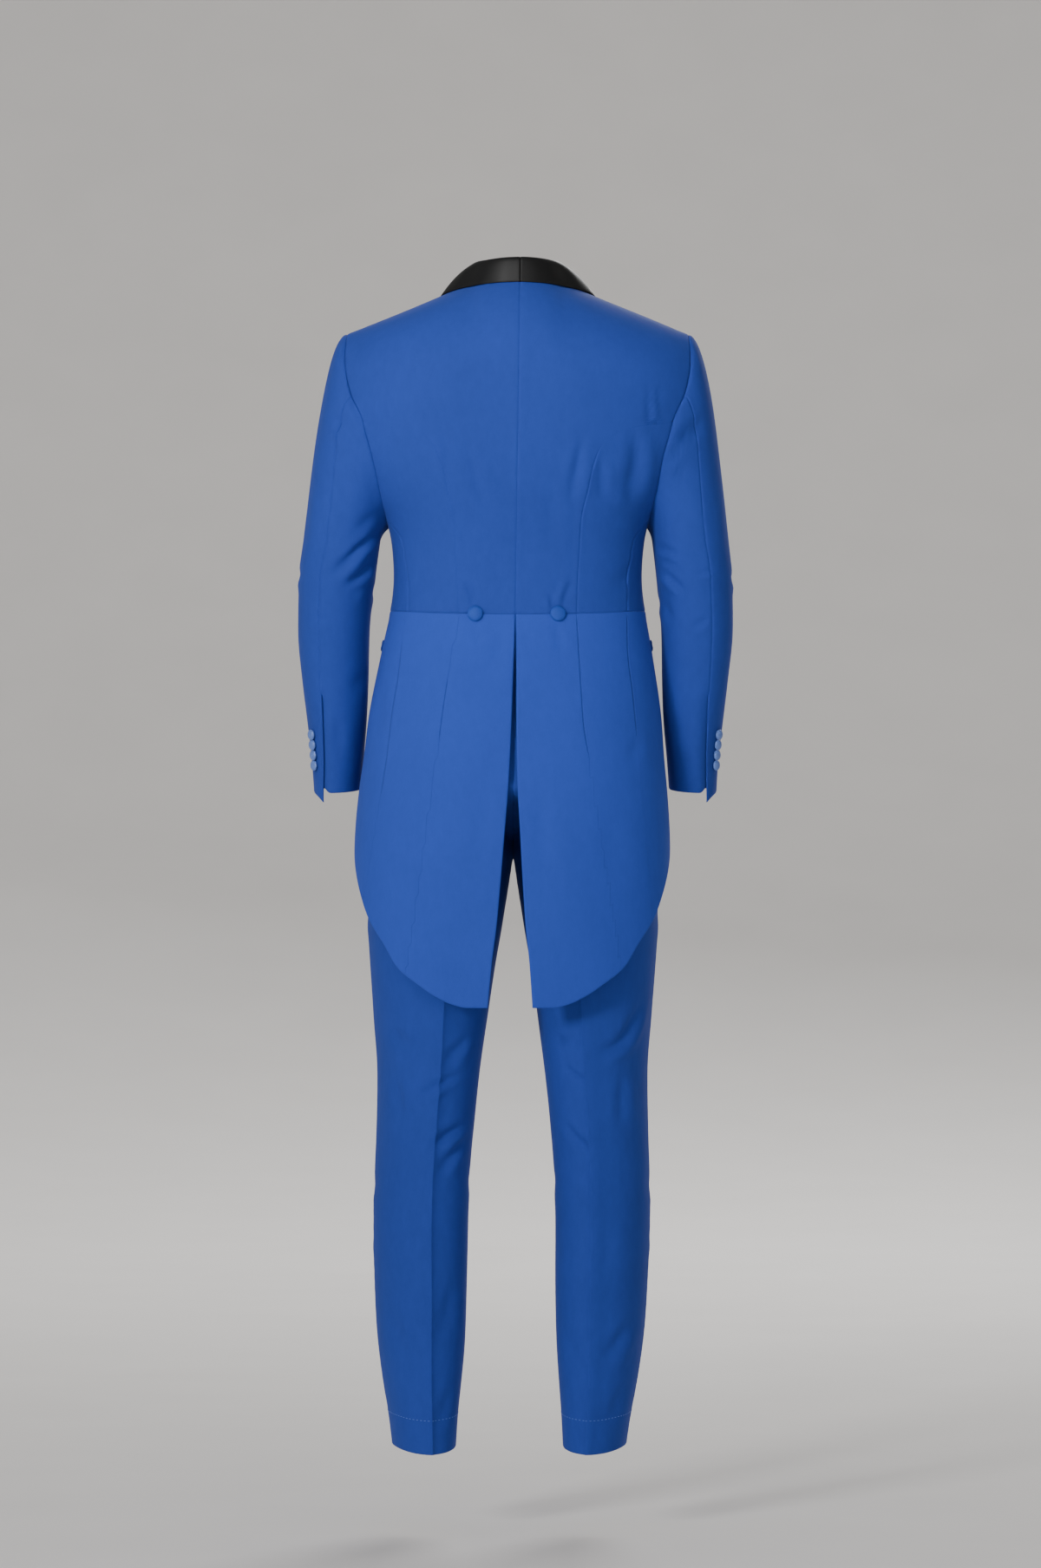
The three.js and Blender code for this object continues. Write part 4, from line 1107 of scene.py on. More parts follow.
        return Cloth(
            f"skirt_{side.word}", side, face, self.spacing, creases,
            Seaming(sewn="bottom"), lines=darts, hung=True,
        )


@dataclass(frozen=True)
class Shawl:
    """The satin collar: a stand, a roll and a fall, in two halves."""

    coat: Coat
    satin: float = 1.6
    roll_puff: float = 2.2
    edge_puff: float = 0.6
    table: Profile = Profile(SHAWL_NAMES, SHAWL_ROWS)

    def _section(self, side: Side, count: float, t: Array, lift: float) -> Array:
        """Returns the middle of the collar across one station, over shares t of its fall."""
        form = self.coat.form
        read = {word: float(self.table.read(word, count)) for word in SHAWL_NAMES.split()[2:]}
        rear = count < 5.5
        if count <= 0:
            read["neck_x"] = read["edge_x"] = float(self.coat.lean(side, 12))
        over = form.seam + 0.5 * self.satin + 0.35
        soft = float(ease((read["neck_x"] - 2) / 30) * ease(read["edge_z"] / -30))

        def at(share: Array, off: Array) -> Array:
            """Returns a place between the neck and the collar's edge, off the coat."""
            x = read["neck_x"] + (read["edge_x"] - read["neck_x"]) * share
            z = read["neck_z"] + (read["edge_z"] - read["neck_z"]) * share
            z = np.minimum(z, form.ridge_height(x))
            return form.point(side, form.angle_of(x, z, rear), z, off)

        zero, one = np.array(0.0), np.array(1.0)
        neck = at(zero, 0.0)
        inward = neck - at(one, 0.0)
        inward = inward / np.linalg.norm(inward)
        up = np.array([0.0, 0.0, 1.0])
        foot = at(zero, -1.8) + inward * over
        top = at(zero, over) + inward * over * 0.6 + up * (read["stand"] + 0.5)
        marks = [foot, foot + (top - foot) * 0.5, foot + (top - foot) * 0.86, top]
        for share in (0.035, 0.14, 0.3, 0.48, 0.66, 0.84, 1.0):
            off = over + soft * (self.roll_puff + (self.edge_puff - self.roll_puff) * share)
            marks.append(at(np.array(share), off) + up * read["stand"] * (1 - share * share))
        line = np.array(marks)
        keys = np.concatenate([[0.0], np.cumsum(np.linalg.norm(np.diff(line, axis=0), axis=1) ** 0.5)])
        return _spline(keys / keys[-1], line, t)

    def _sections(self, side: Side) -> tuple[Array, Array]:
        """Returns the collar's length shares and its sections at the pattern's stations."""
        counts = [float(k) for k in range(6)] + [k / 2 for k in range(12, 37)]
        t = np.linspace(0, 1, 120)
        grid = np.array([self._section(side, count, t, 0.0) for count in counts])
        run = np.linalg.norm(np.diff(grid[:, 60], axis=0), axis=1)
        keys = np.concatenate([[0.0], np.cumsum(run)])
        return keys / keys[-1], grid

    def cloth(self, side: Side, creases: tuple[Crease, ...], spacing: float) -> Cloth:
        """Returns one half of the collar from the centre back to its point."""
        keys, grid = self._sections(side)
        shares = np.linspace(0, 1, grid.shape[1])

        def face(u: Array, v: Array, lift: float) -> Array:
            """Returns the collar's points."""
            rows = _spline(keys, grid, v[:, 0])
            points = np.array([_spline(shares, row, at) for row, at in zip(rows, u)])
            section = np.gradient(points, axis=1)
            collar = np.gradient(points, axis=0)
            collar[0] = np.array([side.value, 0.0, 0.0])
            normal = np.cross(collar, section) * side.value
            normal /= np.maximum(np.linalg.norm(normal, axis=-1, keepdims=True), 1e-9)
            return points + normal * lift

        make = Seaming(sewn="bottom", furrow=0.5, swell=0.1, pucker=0.05, turn=0.5)
        return Cloth(
            f"shawl_{side.word}", side, face, spacing, creases, make,
            thickness=self.satin, lift=0.5 * self.satin, slot="black_satin",
        )


def _spline(keys: Array, values: Array, at: Array) -> Array:
    """Returns values read at places between keys, on a smooth curve through all of them."""
    slope = np.gradient(values, keys, axis=0)
    index = np.clip(np.searchsorted(keys, at, side="right") - 1, 0, len(keys) - 2)
    span = (keys[index + 1] - keys[index]).reshape((-1,) + (1,) * (values.ndim - 1))
    t = ((at - keys[index]).reshape(span.shape)) / span
    return hermite(values[index], slope[index] * span, values[index + 1], slope[index + 1] * span, t)


@dataclass(frozen=True)
class Sleeves:
    """The sleeves: a top and an under piece on each side, open at the cuff vent."""

    form: SleeveForm
    spacing: float = 4.6
    vent_from: float = 0.775
    lap_theta: float = 9.0
    lap_sink: float = 3.0
    lap_fade: float = 0.13
    corner_rise: float = 10.0
    corner_share: float = 0.17

    def top(self, side: Side, creases: tuple[Crease, ...]) -> Cloth:
        """Returns the outer piece, with the corner of its vent."""

        def face(u: Array, v: Array, lift: float) -> Array:
            """Returns the piece's points."""
            end = self.form.hind_seam(v)
            start = self.form.fore_seam_theta
            return self.form.point(side, start + (end - start) * u, v, lift, self.form.tip_drop * u**8)

        return Cloth(
            f"top_sleeve_{side.word}", side, face, self.spacing, creases,
            Seaming(sewn="bottom start end", quiet=self._vent("end")), hung=True,
        )

    def under(self, side: Side, creases: tuple[Crease, ...]) -> Cloth:
        """Returns the inner piece."""

        def face(u: Array, v: Array, lift: float) -> Array:
            """Returns the piece's points, which run on under the top sleeve's lap."""
            lap = ease((v - self.vent_from) / 0.02)
            start = self.form.hind_seam(v) - self.lap_theta * lap
            end = self.form.fore_seam_theta + 360
            sink = self.lap_sink * lap * (1 - ease((u - 0.05) / self.lap_fade))
            rise = self.corner_rise * (1 - ease(u / self.corner_share))
            return self.form.point(side, start + (end - start) * u, v, lift - sink, -rise)

        return Cloth(
            f"under_sleeve_{side.word}", side, face, self.spacing, creases,
            Seaming(sewn="bottom start end", quiet=self._vent("start")), hung=True,
        )

    def _vent(self, edge: str) -> tuple[Quiet, ...]:
        """Returns the stretch of the back seam that is left open above the cuff."""
        share = (self.vent_from - self.form.cap_share) / (1 - self.form.cap_share)
        z = self.form.bicep_z + (self.form.cuff_z - self.form.bicep_z) * share
        return (Quiet(edge, self.form.cuff_z - 60, z, 0.0),)


@dataclass(frozen=True)
class Trousers:
    """The trousers: two legs of a front and a back panel, a waistband and a fly piece."""

    form: TrouserForm
    spacing: float = 5.0
    fly_low_z: float = -610.0
    fly_width: float = 40.0
    hem_dip: float = 6.0
    front_share: float = 0.4
    seat_hollow: float = 8.0
    seat_width: float = 14.0

    def _seat(self, rear: bool) -> Callable[[Array, Array], Array]:
        """Returns the hollow along the seat seam, and the swell that closes it above the fork."""
        form = self.form

        def height(points: Array, normals: Array) -> Array:
            """Returns how far the cloth stands out at each point."""
            z = points[..., 2]
            away = np.abs(points[..., 0] - form.drift.read("x", z))
            hollow = bell(away, self.seat_width) * ease((-455 - z) / 70) * ease((z + 668) / 50)
            close = ease((z - form.fork_z + 8) / 8) * ease((form.fork_z + 100 - z) / 30)
            return 1.5 * close * ease(1 - away / 9) - (self.seat_hollow * hollow if rear else 0.0)

        return height

    def leg(
        self, side: Side, rear: bool, creases: tuple[Crease, ...], lines: tuple[Track, ...]
    ) -> Cloth:
        """Returns the back or the front panel of one leg."""
        form = self.form
        top = form.band_low_z - 0.5 * form.seam
        dip = self.hem_dip if rear else -self.front_share * self.hem_dip

        def face(u: Array, v: Array, lift: float) -> Array:
            """Returns the panel's points, down to a hem that slants to the heel."""
            low = form.hem_z - dip * np.sin(np.pi * u) ** 2
            return form.panel_point(side, rear, u, low + (top - low) * v, lift)

        word = "leg_back" if rear else "leg_front"
        return Cloth(
            f"{word}_{side.word}", side, face, self.spacing, creases,
            Seaming(sewn="top start end", furrow=0.5), lines, relief=self._seat(rear), pressed=True,
        )

    def band(self, side: Side) -> Cloth:
        """Returns one half of the waistband."""
        form = self.form

        def face(u: Array, v: Array, lift: float) -> Array:
            """Returns the waistband's points."""
            low = form.band_low_z + 0.5 * form.seam
            z = low + (form.band_top_z - low) * v
            point = form.hip_point(180 * u, z, lift)
            point[..., 0] = side.value * point[..., 0] + form.drift.read("x", z)
            return point

        return Cloth(
            f"waistband_{side.word}", side, face, 6.0, (), Seaming(sewn="bottom start"),
            thickness=2.6, lift=0.4,
        )

    def fly(self) -> Cloth:
        """Returns the placket piece that covers the front closure."""
        form = self.form

        def face(u: Array, v: Array, lift: float) -> Array:
            """Returns the piece's points, narrowed in a curve at its foot."""
            z = form.band_low_z - 1 + (self.fly_low_z - form.band_low_z + 1) * v
            width = self.fly_width * np.sqrt(1 - 0.9 * np.clip((v - 0.72) / 0.28, 0, 1) ** 2)
            share = np.clip((0.5 * form.seam + 1 + u * width) / form.hips.read("half", z), 0, 1)
            phi = 180 - np.degrees(np.arcsin(share ** (1 / form.hip_roundness)))
            point = form.hip_point(phi, z, lift)
            point[..., 0] += form.drift.read("x", z)
            return point

        return Cloth(
            "fly_front", Side.LEFT, face, 5.0, (), Seaming(sewn="end", pucker=0.15),
            thickness=1.3, lift=1.8,
        )


@dataclass(frozen=True)
class HipWelts:
    """The double welt of each side pocket, between two angles round the body."""

    coat: Coat
    back_phi: float = 86.0
    front_phi: float = 131.0
    top_z: float = -449.0
    high: float = 12.0
    slope: float = 10.0
    proud: float = 1.6

    def cloth(self, side: Side) -> Cloth:
        """Returns one welt."""
        form = self.coat.form

        def face(u: Array, v: Array, lift: float) -> Array:
            """Returns the welt's points."""
            phi = self.back_phi + (self.front_phi - self.back_phi) * u
            return form.point(side, phi, self.top_z - self.slope * u - self.high * v, lift)

        def lips(points: Array, normals: Array) -> Array:
            """Returns the sunken line between the two lips."""
            rows = np.linspace(0, 1, points.shape[0])[:, None]
            return -0.9 * bell(rows - 0.5, 0.09) + 0 * points[..., 0]

        return Cloth(
            f"hip_welt_{side.word}", side, face, 2.2, (), Seaming(sewn="", turn=0.6),
            thickness=1.4, lift=form.seam + 0.3 + self.proud, relief=lips,
        )


@dataclass(frozen=True)
class ButtonKind:
    """A domed button: its sizes and its finish's slot."""

    across: float
    thick: float
    slot: str
    rim_share: float = 0.35
    rings: int = 18
    around: int = 64

    def build(
        self, name: str, seat: Array, facing: Array, finish: bpy.types.Material
    ) -> bpy.types.Object:
        """Make one button.

        Args:
            name: its name.
            seat: the middle of its flat back.
            facing: the way out from the cloth.
            finish: its material.

        Returns:
            The piece.
        """
        radius, rim = 0.5 * self.across, self.rim_share * self.thick
        angle = np.linspace(0, 0.5 * np.pi, self.rings)
        low = [(0.0, 0.0), (0.55 * radius, 0.0), (0.86 * radius, 0.05), (0.95 * radius, 0.25 * rim)]
        reach = np.concatenate([[r for r, _ in low], radius * np.cos(angle[:-1]) ** 0.92])
        rise = np.concatenate([[h for _, h in low], rim + (self.thick - rim) * np.sin(angle[:-1]) ** 1.1])
        turn = np.linspace(0, 2 * np.pi, self.around, endpoint=False)
        gather = 1 + 0.012 * np.cos(11 * turn) * bell(rise[:, None] / self.thick, 0.35)
        facing = facing / np.linalg.norm(facing)
        side = np.cross(facing, [0.0, 0.0, 1.0])
        side = side / np.linalg.norm(side)
        up = np.cross(side, facing)
        flat = (reach[:, None] * gather)[..., None]
        ring = np.cos(turn)[None, :, None] * side + np.sin(turn)[None, :, None] * up
        points = (seat + flat * ring + rise[:, None, None] * facing).reshape(-1, 3)
        points = np.vstack([points, seat + facing * self.thick])
        count, around = len(reach), self.around
        index = np.arange(count * around).reshape(count, around)
        after = np.roll(index, -1, axis=1)
        quads = _quads(index[:-1], after[:-1], after[1:], index[1:])
        tip = len(points) - 1
        mesh_faces = [list(map(int, quad)) for quad in quads]
        mesh_faces += [[int(a), int(b), tip] for a, b in zip(index[-1], after[-1])]
        return _solid(name, points * MM, mesh_faces, finish)


def _solid(
    name: str, points: Array, faces: list[list[int]], finish: bpy.types.Material
) -> bpy.types.Object:
    """Returns a smooth closed object whose faces are turned out."""
    piece = make_mesh(name, points, faces, [finish])
    volume = sum(
        float(np.dot(points[f[0]], np.cross(points[f[k]], points[f[k + 1]])))
        for f in faces for k in range(1, len(f) - 1)
    )
    if volume < 0:
        piece.data.flip_normals()
    return piece


@dataclass(frozen=True)
class Buttons:
    """Every button of the suit, at its own place."""

    coat: CoatForm
    sleeve: SleeveForm
    waist: ButtonKind = ButtonKind(20.0, 6.0, "covered_button")
    cuff: ButtonKind = ButtonKind(13.8, 4.6, "satin_button")
    waist_x: float = 52.5
    waist_z: float = -418.0
    front_x: float = 0.5
    front_z: float = -401.0
    cuff_top_z: float = -571.0
    cuff_pitch: float = 13.2
    cuff_theta: float = 36.0
    cuff_tilt: tuple[float, float, float] = (0.0, 0.20, 0.13)
    cuff_rise: float = 0.8
    cuff_count: int = 4
    step: float = 2.0

    def _outward(self, face: Callable[[float, float], Array], u: float, v: float) -> Array:
        """Returns the way out of a face from the places round one point."""
        du = face(u + self.step, v) - face(u - self.step, v)
        dv = face(u, v + self.step) - face(u, v - self.step)
        normal = np.cross(du, dv)
        return normal / np.linalg.norm(normal)

    def places(self) -> list[tuple[str, ButtonKind, Array, Array]]:
        """Returns name, kind, seat and facing of each button."""
        found = []
        for side in Side:

            def back(phi: float, z: float) -> Array:
                """Returns a place on the coat's body."""
                return self.coat.point(side, np.array(phi), np.array(z))

            def ring(theta: float, z: float) -> Array:
                """Returns a place on the sleeve."""
                return self.sleeve.ring(side, np.array(theta), np.array(z), 0.0)

            phi = float(self.coat.angle_of(self.waist_x + side.value * 1.5, self.waist_z, True))
            facing = self._outward(back, phi, self.waist_z) * -side.value
            seat = back(phi, self.waist_z) + facing * (self.coat.seam + 0.45)
            found.append((f"back_waist_button_{side.word}", self.waist, seat, facing))
            for k in range(self.cuff_count):
                z = self.cuff_top_z - k * self.cuff_pitch
                out = self._outward(ring, self.cuff_theta, z)
                place = ring(self.cuff_theta, z) + out * (self.coat.seam + 0.5 + self.cuff_rise)
                out = out + np.array(self.cuff_tilt)
                turn = np.array([side.value, 1.0, 1.0])
                found.append((f"cuff_button_{side.word}_{k + 1}", self.cuff, place * turn, out * turn))
        phi = self.coat.angle_of(self.front_x, self.front_z, False)
        seat = self.coat.point(Side.LEFT, phi, np.array(self.front_z), self.coat.seam + 0.6)
        found.append(("front_button", self.waist, seat, np.array([0.0, -1.0, 0.0])))
        return found


# Finishes


def linear(red: float, green: float, blue: float) -> tuple[float, float, float, float]:
    """Returns a colour given from 0 to 255 as shader values."""
    share = [value / 255 for value in (red, green, blue)]
    curve = [s / 12.92 if s <= 0.04045 else ((s + 0.055) / 1.055) ** 2.4 for s in share]
    return (curve[0], curve[1], curve[2], 1.0)


class Wire:
    """An output of a node, which can be added, multiplied and mixed like a number."""

    def __init__(self, socket: bpy.types.NodeSocket) -> None:
        """Hold one output of a node."""
        self.socket = socket

    @property
    def tree(self) -> bpy.types.NodeTree:
        """The nodes that the output belongs to."""
        return self.socket.id_data

    def _math(self, operation: str, *values: "Wire | float") -> "Wire":
        """Returns the result of one sum on values."""
        return add_node(self.tree, "ShaderNodeMath", {"operation": operation}, dict(enumerate(values)))

    def __add__(self, other: "Wire | float") -> "Wire":
        """Returns the sum."""
        return self._math("ADD", self, other)

    def __sub__(self, other: "Wire | float") -> "Wire":
        """Returns the difference."""
        return self._math("SUBTRACT", self, other)

    def __rsub__(self, other: float) -> "Wire":
        """Returns a number less the value."""
        return self._math("SUBTRACT", other, self)

    def __mul__(self, other: "Wire | float") -> "Wire":
        """Returns the product."""
        return self._math("MULTIPLY", self, other)

    __radd__ = __add__
    __rmul__ = __mul__

    def size(self) -> "Wire":
        """Returns the value without its sign."""
        return self._math("ABSOLUTE", self)

    def wave(self) -> "Wire":
        """Returns the sine of the value."""
        return self._math("SINE", self)

    def least(self, other: "Wire | float") -> "Wire":
        """Returns the smaller of two values."""
        return self._math("MINIMUM", self, other)

    def most(self, other: "Wire | float") -> "Wire":
        """Returns the larger of two values."""
        return self._math("MAXIMUM", self, other)

    def between(self, low: float, high: float) -> "Wire":
        """Returns a smooth step of the value from 0 at low to 1 at high."""
        ends = {"Value": self, "From Min": low, "From Max": high}
        return add_node(
            self.tree, "ShaderNodeMapRange", {"interpolation_type": "SMOOTHSTEP"}, ends, "Result"
        )

    def blend(self, first: Sequence[float], second: Sequence[float]) -> "Wire":
        """Returns a colour mixed from two by this value."""
        values = {"Factor": self, "A": first, "B": second}
        return add_node(self.tree, "ShaderNodeMix", {"data_type": "RGBA"}, values, "Result")


Setting = bool | int | float | str
Value = Wire | bool | float | str | Sequence[float]


def put_node(
    tree: bpy.types.NodeTree,
    kind: str,
    settings: Optional[dict[str, Setting]] = None,
    values: Optional[dict[str | int, Value]] = None,
) -> bpy.types.Node:
    """Put one node in a tree.

    Args:
        tree: the nodes of a material or of a repeated shape.
        kind: the node's type.
        settings: its own settings, which are made first.
        values: a value or a link for each of its inputs, by name or number.

    Returns:
        The node.
    """
    node = tree.nodes.new(kind)
    for word, setting in (settings or {}).items():
        setattr(node, word, setting)
    for word, value in (values or {}).items():
        if isinstance(value, Wire):
            tree.links.new(value.socket, node.inputs[word])
        else:
            node.inputs[word].default_value = value
    return node


def add_node(
    tree: bpy.types.NodeTree,
    kind: str,
    settings: Optional[dict[str, Setting]] = None,
    values: Optional[dict[str | int, Value]] = None,
    output: str | int = 0,
) -> Wire:
    """Returns one output of a node that is put in a tree, as put_node does."""
    return Wire(put_node(tree, kind, settings, values).outputs[output])


class Bench:
    """A new material with its main shader and the values that its pattern is drawn from."""

    def __init__(self, name: str) -> None:
        """Start a material of this name."""
        self.material = bpy.data.materials.new(name)
        self.material.use_nodes = True
        self.tree = self.material.node_tree
        self.tree.nodes.clear()
        self.shader = put_node(self.tree, "ShaderNodeBsdfPrincipled")
        put_node(self.tree, "ShaderNodeOutputMaterial", values={"Surface": Wire(self.shader.outputs[0])})

    def constant(self, **values: float | Sequence[float]) -> None:
        """Set plain inputs, named with underscores for spaces."""
        for word, value in values.items():
            self.shader.inputs[word.replace("_", " ")].default_value = value

    def join(self, word: str, wire: Wire) -> None:
        """Join a value that varies over the surface to an input of the shader."""
        self.tree.links.new(wire.socket, self.shader.inputs[word])

    def attribute(self, name: str) -> Wire:
        """Returns a value stored on the mesh."""
        return add_node(self.tree, "ShaderNodeAttribute", {"attribute_name": name}, output="Fac")

    def place(self, word: str = "Object") -> Wire:
        """Returns the place on the object, or on its cloth with the word UV."""
        return add_node(self.tree, "ShaderNodeTexCoord", output=word)

    def flat(self) -> tuple[Wire, Wire]:
        """Returns the place on the flat cloth, across and along it."""
        parts = put_node(self.tree, "ShaderNodeSeparateXYZ", values={0: self.place("UV")})
        return Wire(parts.outputs["X"]), Wire(parts.outputs["Y"])

    def noise(self, scale: float, detail: float, stretch: tuple[float, float, float]) -> Wire:
        """Draw a cloudy pattern.

        Args:
            scale: its cells per metre.
            detail: how many finer layers it has.
            stretch: of each axis.

        Returns:
            Its value, 0 to 1.
        """
        stretched = {"Vector": self.place(), "Scale": stretch}
        turned = add_node(self.tree, "ShaderNodeMapping", values=stretched)
        values = {"Vector": turned, "Scale": scale, "Detail": detail}
        return add_node(self.tree, "ShaderNodeTexNoise", values=values, output="Fac")

    def relief(self, height: Wire, metres: float) -> None:
        """Join a fine height, as a bump of a real size, to the shader."""
        values = {"Strength": 1.0, "Distance": metres, "Height": height}
        self.join("Normal", add_node(self.tree, "ShaderNodeBump", values=values))


@dataclass(frozen=True)
class WoolFinish:
    """Fine worsted wool: a dyed colour with mixed fibres, a faint twill, a soft rumple, and painted shade
    along its seams and drawn lines.
    """

    name: str
    color: tuple[float, float, float]
    depth: float = 0.78
    mottle: float = 0.10
    lines: int = 0
    bloom: float = 0.06
    fibre: float = 900.0
    cloud: float = 9.0
    slub: float = 120.0
    rumple: float = 34.0
    twill: float = 3900.0
    twill_slope: float = 0.62
    relief: float = 0.00022

    def build(self) -> bpy.types.Material:
        """Returns the material."""
        bench = Bench(self.name)
        light = linear(*self.color)
        dark = linear(*[value * self.depth for value in self.color])
        fibre = bench.noise(self.fibre, 2.0, (1.0, 1.0, 0.35))
        cloud = bench.noise(self.cloud, 2.0, (1.0, 1.0, 1.0))
        slub = bench.noise(self.slub, 2.0, (1.0, 1.0, 0.5))
        shade = (fibre - 0.5) * (2.2 * self.mottle) + (cloud - 0.5) * 0.35
        shade = shade + (slub - 0.5) * 0.3 + 0.16
        across, along = bench.flat()
        twill = ((across + along * self.twill_slope) * self.twill).wave()
        # Seams and drawn lines are darkened in the base colour as painted shade of their grooves; the
        # same mask also sinks them as a bump.
        seam_groove_and_painted_shade = bench.attribute("edge").between(1.1, 0.0)
        for number in range(1, self.lines + 1):
            seam_groove_and_painted_shade = seam_groove_and_painted_shade.most(bench.attribute(f"line_{number}").size().between(1.3, 0.1))
        bench.join("Base Color", (shade + seam_groove_and_painted_shade * 0.55).least(1.0).most(0.0).blend(light, dark))
        rumple = bench.noise(self.rumple, 2.0, (1.0, 1.0, 0.6))
        bench.relief(twill * 0.05 + fibre * 0.25 + rumple * 3.0 - seam_groove_and_painted_shade * 3.2, self.relief)
        bench.join("Roughness", fibre * 0.1 + 0.78)
        bench.constant(Sheen_Weight=self.bloom, Sheen_Roughness=0.45, Specular_IOR_Level=0.14)
        bench.constant(Sheen_Tint=(0.5, 0.6, 1.0, 1.0))
        return bench.material


@dataclass(frozen=True)
class SatinFinish:
    """Smooth black satin with a soft sheen and a fine rib."""

    name: str
    color: tuple[float, float, float]
    gloss: float = 0.46
    thread: float = 700.0
    cloud: float = 14.0
    relief: float = 0.00018

    def build(self) -> bpy.types.Material:
        """Returns the material."""
        bench = Bench(self.name)
        thread = bench.noise(self.thread, 1.0, (1.0, 1.0, 0.3))
        cloud = bench.noise(self.cloud, 2.0, (1.0, 1.0, 1.0))
        light = linear(*self.color)
        dark = linear(*[value * 0.7 for value in self.color])
        bench.join("Base Color", cloud.blend(light, dark))
        bench.relief(thread * 0.25 - bench.attribute("edge").between(0.9, 0.0) * 2.0, self.relief)
        bench.join("Roughness", thread * 0.08 + cloud * 0.06 + self.gloss)
        bench.constant(Specular_IOR_Level=0.3)
        return bench.material


@dataclass(frozen=True)
class ButtonFinish:
    """Cloth drawn tight over a button's dome."""

    name: str
    color: tuple[float, float, float]
    gloss: float
    shine: float = 0.22
    thread: float = 1100.0
    relief: float = 0.00012

    def build(self) -> bpy.types.Material:
        """Returns the material."""
        bench = Bench(self.name)
        thread = bench.noise(self.thread, 2.0, (1.0, 1.0, 1.0))
        light, dark = linear(*self.color), linear(*[value * 0.84 for value in self.color])
        bench.join("Base Color", thread.blend(light, dark))
        bench.relief(thread, self.relief)
        bench.join("Roughness", thread * 0.1 + self.gloss)
        bench.constant(Specular_IOR_Level=self.shine)
        return bench.material


@dataclass(frozen=True)
class PlainFinish:
    """One even, matt colour with a faint cloud in it."""

    name: str
    color: tuple[float, float, float]
    roughness: float = 0.9
    cloud: float = 4.0

    def build(self) -> bpy.types.Material:
        """Returns the material."""
        bench = Bench(self.name)
        cloud = bench.noise(self.cloud, 2.0, (1.0, 1.0, 1.0))
        light, dark = linear(*self.color), linear(*[value * 0.97 for value in self.color])
        bench.join("Base Color", cloud.blend(light, dark))
        bench.constant(Roughness=self.roughness)
        return bench.material


# Sewing


